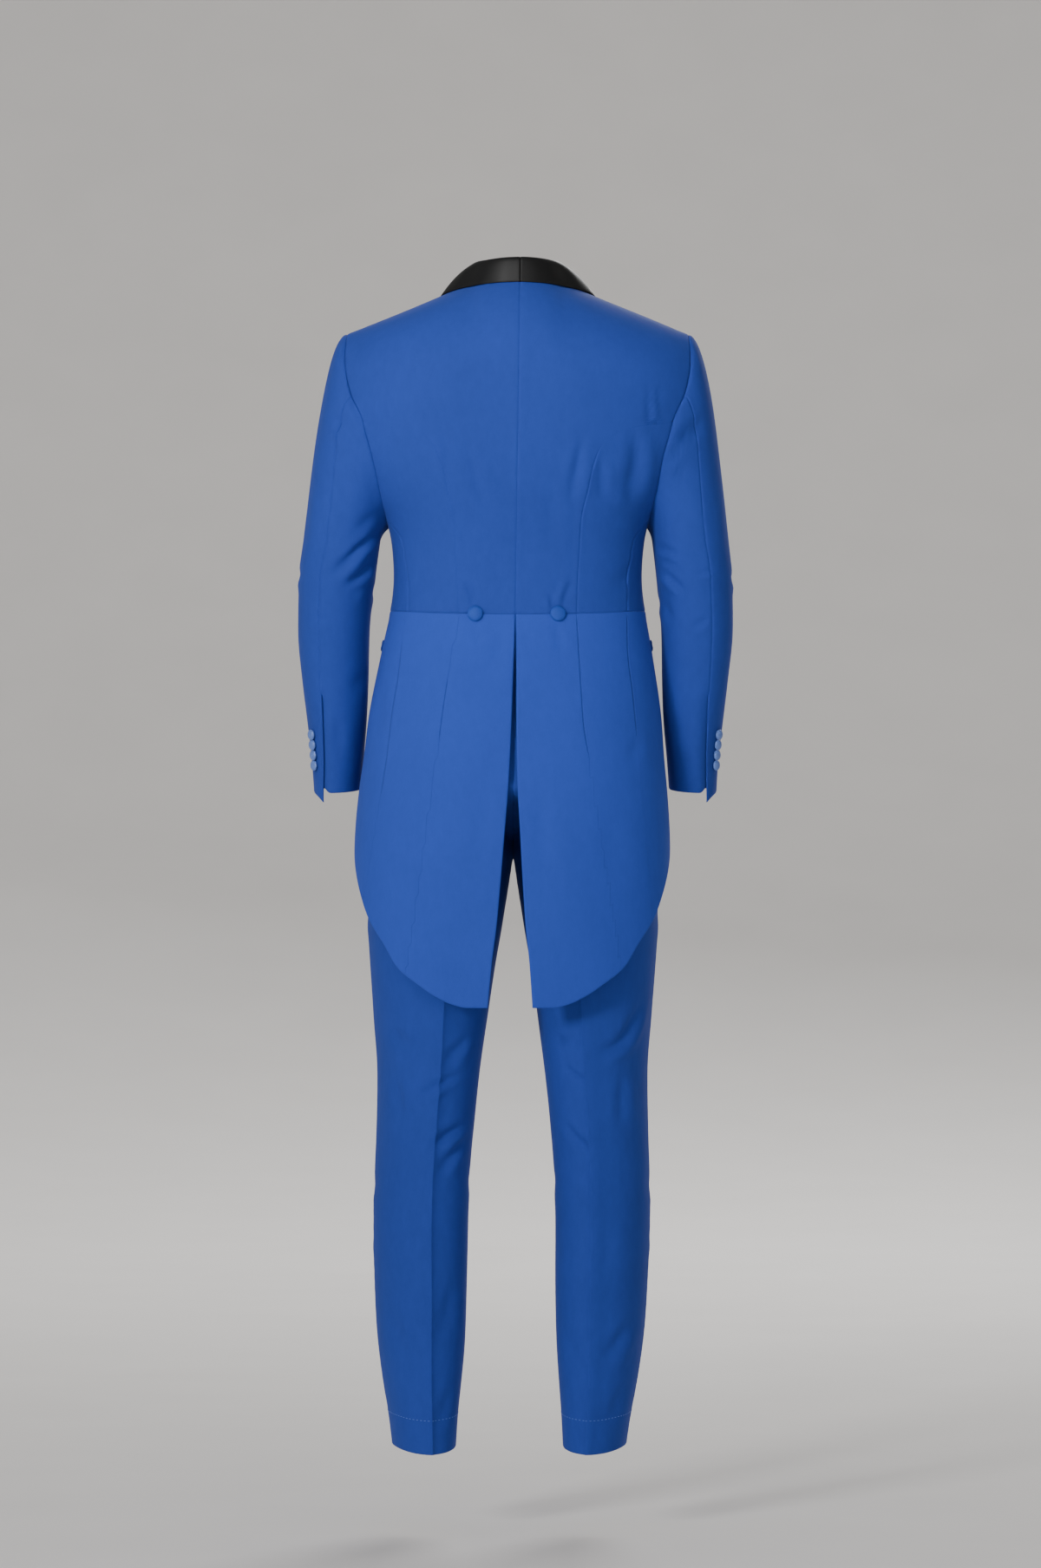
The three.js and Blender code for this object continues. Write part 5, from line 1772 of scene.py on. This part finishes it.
@dataclass(frozen=True)
class Stitches:
    """Sewing that shows: one short stitch, repeated along a path by Geometry Nodes."""

    pitch: float = 5.6
    length: float = 3.7
    width: float = 0.9
    hem_rise: float = 45.0
    fly_share: float = 0.9
    sides: int = 6
    rings: int = 5

    def _tree(self) -> bpy.types.NodeTree:
        """Returns the nodes that set a stitch on every point of a path."""
        tree = bpy.data.node_groups.new("stitch_run", "GeometryNodeTree")
        inputs = {
            "Path": "NodeSocketGeometry", "Stitch length": "NodeSocketFloat",
            "Stitch width": "NodeSocketFloat", "Thread": "NodeSocketMaterial",
        }
        for word, kind in inputs.items():
            tree.interface.new_socket(word, in_out="INPUT", socket_type=kind)
        tree.interface.new_socket("Stitches", in_out="OUTPUT", socket_type="NodeSocketGeometry")
        entry = put_node(tree, "NodeGroupInput")
        given = {word: Wire(socket) for word, socket in entry.outputs.items()}

        def way(name: str) -> Wire:
            """Returns a direction stored on the path."""
            kind, settings = "GeometryNodeInputNamedAttribute", {"data_type": "FLOAT_VECTOR"}
            return add_node(tree, kind, settings, {"Name": name}, "Attribute")

        turn = add_node(
            tree, "FunctionNodeAxesToRotation", {"primary_axis": "X", "secondary_axis": "Z"},
            {"Primary Axis": way("way"), "Secondary Axis": way("out")},
        )
        size = add_node(tree, "ShaderNodeCombineXYZ", values={
            "X": given["Stitch length"], "Y": given["Stitch width"], "Z": given["Stitch width"],
        })
        ball = add_node(tree, "GeometryNodeMeshUVSphere", values={
            "Segments": self.sides, "Rings": self.rings, "Radius": 0.5,
        })
        placed = add_node(tree, "GeometryNodeInstanceOnPoints", values={
            "Points": given["Path"], "Instance": ball, "Rotation": turn, "Scale": size,
        })
        whole = add_node(tree, "GeometryNodeRealizeInstances", values={"Geometry": placed})
        smooth = add_node(tree, "GeometryNodeSetShadeSmooth", values={"Geometry": whole})
        finish = {"Geometry": smooth, "Material": given["Thread"]}
        dyed = add_node(tree, "GeometryNodeSetMaterial", values=finish)
        put_node(tree, "NodeGroupOutput", values={"Stitches": dyed})
        return tree

    def run(
        self, name: str, cloth: Cloth, u: Array, v: Array, thread: bpy.types.Material
    ) -> bpy.types.Object:
        """Sew one run of stitches on a cloth.

        Args:
            name: the run's name.
            cloth: the panel that it lies on.
            u: the path's places across the panel.
            v: the path's places along it.
            thread: its finish.

        Returns:
            The run as a plain mesh.
        """
        points, outs = cloth.trace(u, v)
        length = np.append(0.0, np.linalg.norm(np.diff(points, axis=0), axis=1).cumsum())
        at = np.arange(0.5 * self.pitch, length[-1], self.pitch)
        places, outs = (
            np.stack([np.interp(at, length, values[:, axis]) for axis in range(3)], axis=1)
            for values in (points, outs)
        )
        path = bpy.data.meshes.new(name)
        path.from_pydata((places * MM).tolist(), [], [])
        for word, ways in (("way", np.gradient(places, axis=0)), ("out", outs)):
            layer = path.attributes.new(word, "FLOAT_VECTOR", "POINT")
            layer.data.foreach_set("vector", ways.reshape(-1))
        piece = bpy.data.objects.new(name, path)
        bpy.context.scene.collection.objects.link(piece)
        modifier = piece.modifiers.new("stitch_run", "NODES")
        modifier.node_group = self._tree()
        sizes = {"Stitch length": self.length * MM, "Stitch width": self.width * MM, "Thread": thread}
        for item in modifier.node_group.interface.items_tree:
            if item.name in sizes:
                modifier[item.identifier] = sizes[item.name]
        made = piece.evaluated_get(bpy.context.evaluated_depsgraph_get())
        mesh = bpy.data.meshes.new_from_object(made)
        piece.modifiers.remove(modifier)
        piece.data = mesh
        return piece

    def hem(self, leg: Cloth, thread: bpy.types.Material) -> bpy.types.Object:
        """Returns the stitches that hold up the hem of one leg panel."""
        u = np.linspace(0.01, 0.99, 120)
        v = np.full_like(u, self.hem_rise / leg.along[-1].mean())
        return self.run(f"hem_stitches_{leg.name}", leg, u, v, thread)

    def fly(self, placket: Cloth, thread: bpy.types.Material) -> bpy.types.Object:
        """Returns the stitches that hold the fly piece along its curved edge."""
        v = np.linspace(0.03, 0.97, 160)
        return self.run("fly_stitches", placket, np.full_like(v, self.fly_share), v, thread)


# Studio


@dataclass(frozen=True)
class Lamp:
    """A soft square light, turned to its aim; lengths in metres, spread in degrees."""

    name: str
    place: tuple[float, float, float]
    aim: tuple[float, float, float]
    size: float
    watts: float
    spread: float = 180.0

    def hang(self) -> None:
        """Set the light in its place."""
        light = bpy.data.lights.new(self.name, "AREA")
        light.shape = "SQUARE"
        light.size = self.size
        light.energy = self.watts
        light.spread = math.radians(self.spread)
        lamp = bpy.data.objects.new(self.name, light)
        bpy.context.scene.collection.objects.link(lamp)
        lamp.location = self.place
        way = mathutils.Vector(self.aim) - mathutils.Vector(self.place)
        lamp.rotation_euler = way.to_track_quat("-Z", "Y").to_euler()
        lamp.visible_camera = False


@dataclass(frozen=True)
class Studio:
    """A plain pale room with soft lamps, and the camera of the main view."""

    floor_z: float = -1.600
    eye: tuple[float, float, float] = (-0.0034, 7.8, -0.635)
    lens: float = 92.5
    floor_rings: tuple[float, ...] = (0.05, 1.5, 3.0)
    floor_reach: float = 4.5
    room_reach: float = 14.0
    room_height: float = 8.0
    room_curve: float = 2.6
    lamps: tuple[Lamp, ...] = (
        Lamp("key", (3.3, 5.2, 1.0), (0, 0, -0.3), 1.1, 208.0),
        Lamp("crown", (0.9, 2.6, 1.3), (0, 0, -0.1), 0.8, 1.1, spread=24.0),
        Lamp("fill", (-2.4, 6.2, -0.2), (0, 0, -0.4), 2.4, 36.0),
        Lamp("front", (-1.4, -5.4, 2.6), (0, 0, -0.8), 3.2, 230.0),
        Lamp("wash_rear", (0, -4.5, 5.0), (0, -11.5, 0.4), 2.5, 150.0),
        Lamp("wash_front", (0, 4.5, 5.0), (0, 11.5, 0.4), 2.5, 230.0),
    )

    def room(self, finish: bpy.types.Material) -> bpy.types.Object:
        """Returns the floor and the round backdrop as one sheet that curves up gently."""
        share = np.linspace(0, 1, 44)
        wall = self.floor_reach + (self.room_reach - self.floor_reach) * share
        reach = np.concatenate([self.floor_rings, wall])
        climb = np.concatenate([np.zeros(len(self.floor_rings)), share**self.room_curve])
        rise = self.floor_z + self.room_height * climb
        turn = np.linspace(0, 2 * np.pi, 97)[:-1]
        x, y = reach[:, None] * np.cos(turn), reach[:, None] * np.sin(turn)
        points = np.stack([x, y, np.broadcast_to(rise[:, None], x.shape)], -1).reshape(-1, 3)
        index = np.arange(len(points)).reshape(len(reach), len(turn))
        after = np.roll(index, -1, axis=1)
        faces = _quads(index[:-1], index[1:], after[1:], after[:-1]).tolist()
        faces += [index[0].tolist()]
        return make_mesh("studio_room", points, faces, [finish])

    def light(self, ambient: float) -> None:
        """Hang the lamps and set the even light of the room."""
        for lamp in self.lamps:
            lamp.hang()
        world = bpy.data.worlds.new("studio_world")
        bpy.context.scene.world = world
        world.use_nodes = True
        inputs = world.node_tree.nodes["Background"].inputs
        inputs["Color"].default_value = (1.0, 1.0, 1.0, 1.0)
        inputs["Strength"].default_value = ambient

    def camera(self) -> None:
        """Set the camera level, behind the suit."""
        data = bpy.data.cameras.new("studio_camera")
        data.sensor_fit = "VERTICAL"
        data.sensor_height = 24.0
        data.lens = self.lens
        data.clip_end = 60.0
        camera = bpy.data.objects.new("studio_camera", data)
        camera.location = self.eye
        camera.rotation_euler = (0.5 * math.pi, 0.0, math.pi)
        bpy.context.scene.collection.objects.link(camera)
        bpy.context.scene.camera = camera


# Where the worn cloth creases

def creases(view: View, *rows: tuple) -> tuple[Crease, ...]:
    """Returns creases seen one way, each given as its depth, width and ridge, then its marks."""
    return tuple(Crease(tuple(row[3:]), *row[:3], view) for row in rows)


UPPER_BACK_FOLDS = creases(
    View.REAR,
    (3.0, 3.4, 0.9, (-167, -127), (-167, -156), (-172, -187)),
    (2.1, 3.6, 0.7, (172, -140), (171, -174)),
    (1.4, 3, 0.6, (-181, -126), (-180, -152)),
    (4.8, 9, 0.7, (-146, -181), (-152, -217), (-142, -273)),
    (2.6, 9, 0.6, (162, -183), (159, -215)),
    (2.7, 6.5, 0.8, (-82, -192), (-75, -237), (-65, -278)),
    (2.4, 6.0, 0.8, (-106, -219), (-108, -273)),
    (-2.0, 8, 0.3, (-130, -250), (-133, -284)),
    (2.1, 5.5, 0.8, (91, -183), (90, -237)),
    (2.1, 8, 0.6, (63, -206), (50, -256), (35, -295)),
    (1.4, 11, 0.5, (-44, -250), (-41, -340)),
    (2.0, 8, 0.5, (-160, -340), (-140, -371), (-115, -376)),
    (2.1, 4.2, 0.5, (57, -412), (60, -389), (71, -371)),
    (1.5, 3.4, 0.5, (-45, -412), (-41, -392)),
    (2.3, 4.2, 0.5, (-55, -412), (-64, -389), (-73, -376)),
    (2.0, 9, 0.5, (142, -394), (124, -376), (118, -340)),
)
SKIRT_FOLDS = creases(
    View.REAR,
    (2.3, 10, 0.6, (8, -441), (28, -472), (46, -515)),
    (2.0, 6, 0.6, (-48, -432), (-57, -470)),
    (1.2, 5, 0.6, (53, -432), (49, -463)),
    (2.1, 8, 0.5, (-158, -577), (-140, -607)),
    (2.1, 9, 0.6, (176, -508), (180, -586)),
    (1.5, 16, 0.5, (-115, -665), (-129, -754)),
    (1.5, 17, 0.5, (131, -698), (142, -810)),
    (1.4, 12, 0.5, (-26, -631), (-35, -766)),
    (1.4, 12, 0.5, (41, -631), (50, -754)),
)
LEFT_SLEEVE_FOLDS = creases(
    View.REAR,
    (4.2, 7.0, 0.9, (204, -203), (213, -190), (227, -174), (246, -165)),
    (2.4, 5.6, 0.8, (192, -220), (205, -211), (218, -204)),
    (2.7, 3.6, 0.6, (200, -181), (207, -159), (215, -138)),
    (5.6, 5.0, 1.0, (178, -309), (200, -329), (223, -353), (241, -369)),
    (5.2, 4.4, 0.9, (184, -347), (203, -367), (225, -385)),
    (2.6, 5.5, 0.6, (179, -284), (198, -302), (218, -320)),
    (2.9, 5, 0.6, (198, -376), (218, -396)),
    (2.6, 4, 0.6, (265, -420), (243, -424)),
    (1.2, 4, 0.6, (218, -228), (222, -284)),
    (2.0, 8, 0.6, (230, -548), (234, -604)),
    (2.1, 8, 0.5, (274, -250), (280, -340)),
    (2.1, 8, 0.5, (193, -486), (216, -519)),
)
RIGHT_SLEEVE_FOLDS = creases(
    View.REAR,
    (3.6, 7.0, 0.9, (-197, -203), (-216, -187), (-241, -170)),
    (2.4, 3.8, 0.8, (-194, -211), (-215, -204)),
    (2.3, 4.6, 0.7, (-193, -245), (-223, -225)),
    (3.7, 3.6, 0.8, (-208, -344), (-194, -337), (-179, -329)),
    (2.6, 3.6, 0.7, (-217, -371), (-200, -357), (-183, -340)),
    (4.4, 4.0, 0.9, (-216, -392), (-200, -375), (-187, -358)),
    (2.0, 4.4, 0.6, (-235, -342), (-218, -329)),
    (2.3, 3.8, 0.7, (-254, -358), (-225, -368)),
    (2.4, 4, 0.7, (-248, -422), (-221, -436)),
    (2.9, 5, 0.6, (-200, -430), (-192, -412), (-185, -396)),
    (2.0, 8, 0.6, (-225, -553), (-212, -589)),
    (2.0, 8, 0.5, (-274, -250), (-277, -351)),
)
LEG_FOLDS = creases(
    View.REAR,
    (3.8, 4.6, 0.8, (68, -1004), (86, -1012), (105, -1021), (129, -1039)),
    (5.6, 5.6, 1.0, (64, -1069), (86, -1081), (110, -1099)),
    (3.2, 6.0, 0.8, (60, -954), (77, -974), (95, -996)),
    (3.2, 5.6, 0.8, (68, -1095), (86, -1113), (102, -1137)),
    (3.2, 9, 0.6, (162, -945), (147, -967), (129, -978)),
    (2.9, 6.5, 0.7, (156, -1006), (150, -1068)),
    (2.6, 9, 0.6, (82, -1270), (97, -1348)),
    (2.3, 10, 0.6, (162, -1303), (144, -1382)),
    (2.1, 7, 0.5, (86, -1404), (100, -1460)),
    (3.8, 4.0, 0.8, (-58, -992), (-75, -1008), (-88, -1014)),
    (4.4, 6.5, 0.9, (-161, -911), (-133, -963), (-109, -978), (-91, -983)),
    (4.1, 5.0, 0.9, (-59, -1068), (-75, -1088), (-95, -1106)),
    (2.9, 6.5, 0.7, (-134, -1003), (-132, -1079)),
    (2.6, 6, 0.6, (-48, -956), (-62, -972)),
    (3.2, 8, 0.8, (-144, -1326), (-124, -1355), (-109, -1377)),
    (2.1, 8, 0.6, (-64, -1326), (-73, -1393)),
    (2.1, 8, 0.5, (-136, -1404), (-115, -1460)),
    (1.5, 12, 0.5, (-115, -1191), (-109, -1270)),
)

# Hidden sides, drawn as they are seen from in front, or from the side with y across
FRONT_LEFT_SLEEVE_FOLDS = creases(
    View.FRONT,
    (4.4, 5.0, 0.9, (196, -350), (220, -366), (250, -375)),
    (3.7, 4.6, 0.8, (193, -386), (214, -399), (242, -402)),
    (2.4, 5.0, 0.7, (203, -326), (230, -334)),
    (3.5, 5.4, 0.8, (199, -252), (214, -222), (233, -186)),
    (2.6, 5.0, 0.7, (205, -286), (226, -262)),
) + creases(
    View.OUTER,
    (1.9, 6.0, 0.7, (-52, -352), (-18, -366), (14, -361)),
    (1.7, 5.0, 0.6, (-48, -404), (-22, -396)),
) + creases(
    View.INNER,
    (1.5, 6.5, 0.7, (-60, -366), (-28, -384), (2, -388)),
    (1.2, 6.0, 0.7, (-56, -410), (-30, -420)),
)
FRONT_RIGHT_SLEEVE_FOLDS = creases(
    View.FRONT,
    (3.9, 5.2, 0.9, (-191, -344), (-214, -362), (-246, -372)),
    (4.1, 4.4, 0.8, (-189, -372), (-205, -388), (-236, -398)),
    (2.3, 4.6, 0.7, (-190, -412), (-214, -424)),
    (3.3, 5.6, 0.8, (-195, -248), (-212, -226), (-228, -180)),
    (2.3, 5.0, 0.7, (-202, -292), (-220, -270)),
) + creases(
    View.OUTER,
    (2.0, 5.6, 0.7, (-56, -360), (-24, -372), (10, -364)),
) + creases(
    View.INNER,
    (1.4, 6.5, 0.7, (-56, -392), (-34, -402), (0, -398)),
)
FRONT_FOLDS = creases(
    View.FRONT,
    (2.6, 4.6, 0.8, (8, -397), (38, -389), (78, -393)),
    (2.3, 4.8, 0.8, (-10, -398), (-42, -387), (-84, -389)),
    (2.0, 5.0, 0.7, (12, -408), (52, -411), (98, -402)),
    (3.0, 6.0, 0.8, (176, -142), (170, -176), (171, -206)),
    (2.7, 6.4, 0.8, (-173, -136), (-169, -168), (-173, -200)),
    (2.4, 9.0, 0.6, (148, -262), (140, -300), (136, -340)),
    (2.6, 9.0, 0.6, (-146, -256), (-140, -306)),
    (2.1, 7.0, 0.6, (112, -372), (132, -352), (146, -322)),
)
FRONT_LEG_FOLDS = creases(
    View.FRONT,
    (3.5, 6.0, 0.9, (16, -702), (58, -676), (112, -662)),
    (2.9, 5.6, 0.8, (20, -728), (62, -716), (104, -716)),
    (2.1, 6.0, 0.7, (26, -764), (60, -764)),
    (3.3, 6.2, 0.9, (-12, -698), (-56, -668), (-106, -652)),
    (3.0, 5.4, 0.8, (-10, -724), (-50, -708), (-92, -704)),
    (2.6, 9.0, 0.7, (66, -1118), (104, -1108), (150, -1122)),
    (2.3, 8.0, 0.7, (72, -1164), (108, -1174), (146, -1166)),
    (2.7, 9.0, 0.7, (-56, -1124), (-92, -1110), (-138, -1118)),
    (2.0, 8.0, 0.6, (-58, -1176), (-90, -1182)),
    (2.4, 7.0, 0.7, (84, -1402), (104, -1426), (130, -1438)),
    (2.6, 7.0, 0.7, (-70, -1396), (-92, -1424), (-120, -1440)),
) + creases(
    View.OUTER,
    (1.1, 12.0, 0.6, (-60, -820), (-10, -800), (40, -812)),
    (0.9, 11.0, 0.6, (-50, -1176), (-8, -1152), (34, -1158)),
    (0.7, 10.0, 0.6, (-44, -1224), (-6, -1209)),
) + creases(
    View.INNER,
    (0.9, 11.0, 0.6, (-40, -1128), (-4, -1146), (38, -1139)),
)

LEFT_DARTS = (
    Track(((88, -495), (92, -519), (101, -583)), 0.55),
    Track(((148, -452), (153, -497), (161, -545), (168, -605), (176, -654)), 0.6),
)
RIGHT_DARTS = (
    Track(((-75, -422), (-78, -471), (-81, -519), (-84, -561), (-90, -601))),
    Track(((-140, -418), (-141, -471), (-147, -519), (-152, -575))),
)


# The whole suit


@dataclass(frozen=True)
class Folds:
    """Where the worn cloth creases, as it is seen from behind, in front and at the sides."""

    upper_back: tuple[Crease, ...] = UPPER_BACK_FOLDS
    skirt: tuple[Crease, ...] = SKIRT_FOLDS
    front: tuple[Crease, ...] = FRONT_FOLDS
    legs: tuple[Crease, ...] = LEG_FOLDS + FRONT_LEG_FOLDS

    @staticmethod
    def sleeve(side: Side) -> tuple[Crease, ...]:
        """Returns the folds of one sleeve."""
        if side is Side.LEFT:
            return LEFT_SLEEVE_FOLDS + FRONT_LEFT_SLEEVE_FOLDS
        return RIGHT_SLEEVE_FOLDS + FRONT_RIGHT_SLEEVE_FOLDS

    @staticmethod
    def darts(side: Side) -> tuple[Track, ...]:
        """Returns the drawn seams of one tail."""
        return LEFT_DARTS if side is Side.LEFT else RIGHT_DARTS


@dataclass
class Suit:
    """Every piece of the suit, made from the forms and given to the frame."""

    folds: Folds = Folds()
    coat: Coat = Coat(CoatForm())
    trousers: Trousers = Trousers(TrouserForm())

    def panels(self) -> list[Cloth]:
        """Returns every cloth panel."""
        sleeves = Sleeves(SleeveForm(self.coat.form))
        shawl = Shawl(self.coat)
        welts = HipWelts(self.coat)
        hem_z = self.trousers.form.hem_stitch_z
        found = [self.trousers.fly()]
        for side in Side:
            arm = self.folds.sleeve(side)
            hem = (Track(((side.value * 160, hem_z), (side.value * 50, hem_z))),)
            found += [
                self.coat.back(side, self.folds.upper_back),
                self.coat.side_body(side, self.folds.upper_back),
                self.coat.front(side, self.folds.front),
                self.coat.skirt(side, self.folds.skirt, self.folds.darts(side)),
                shawl.cloth(side, (), 3.4),
                sleeves.top(side, arm),
                sleeves.under(side, arm),
                self.trousers.leg(side, True, self.folds.legs, hem),
                self.trousers.leg(side, False, self.folds.legs, hem),
                self.trousers.band(side),
                welts.cloth(side),
            ]
        return found

    def build(self) -> None:
        """Make each panel and button and hand it to the frame."""
        wool = WoolFinish("blue_wool", (46, 77, 178), lines=2).build()
        lining = PlainFinish("blue_lining", (24, 48, 96), 0.6).build()
        satin = SatinFinish("black_satin", (11, 11, 12)).build()
        thread = PlainFinish("blue_thread", (84, 118, 206), 0.55).build()
        stitches = Stitches()
        finishes = {"blue_wool": [wool, lining], "black_satin": [satin, satin]}
        for cloth in self.panels():
            piece = cloth.build(finishes[cloth.slot])
            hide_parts(cloth.name)
            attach(piece, "root")
            width, length = cloth.flat_size()
            area = min(cloth.area(), width * length)
            LOG.info("%s %.3f x %.3f m, %.3f m2", cloth.name, width, length, area)
            if cloth.pressed:
                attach(stitches.hem(cloth, thread), "root")
            elif cloth.name == "fly_front":
                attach(stitches.fly(cloth, thread), "root")
        covered = ButtonFinish("covered_button", (36, 76, 176), 0.6).build()
        glossy = ButtonFinish("satin_button", (98, 130, 206), 0.3, 0.5).build()
        buttons = Buttons(self.coat.form, SleeveForm(self.coat.form))
        for name, kind, seat, facing in buttons.places():
            piece = kind.build(name, seat, facing, covered if kind.slot == "covered_button" else glossy)
            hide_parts(name)
            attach(piece, "root")


def main() -> None:
    """Build the suit and its studio."""
    logging.basicConfig(level=logging.INFO)
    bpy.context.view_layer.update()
    Suit().build()
    studio = Studio()
    studio.room(PlainFinish("studio_grey", (232, 229, 226)).build())
    studio.light(0.3)
    studio.camera()


if __name__ == "__main__":
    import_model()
    main()
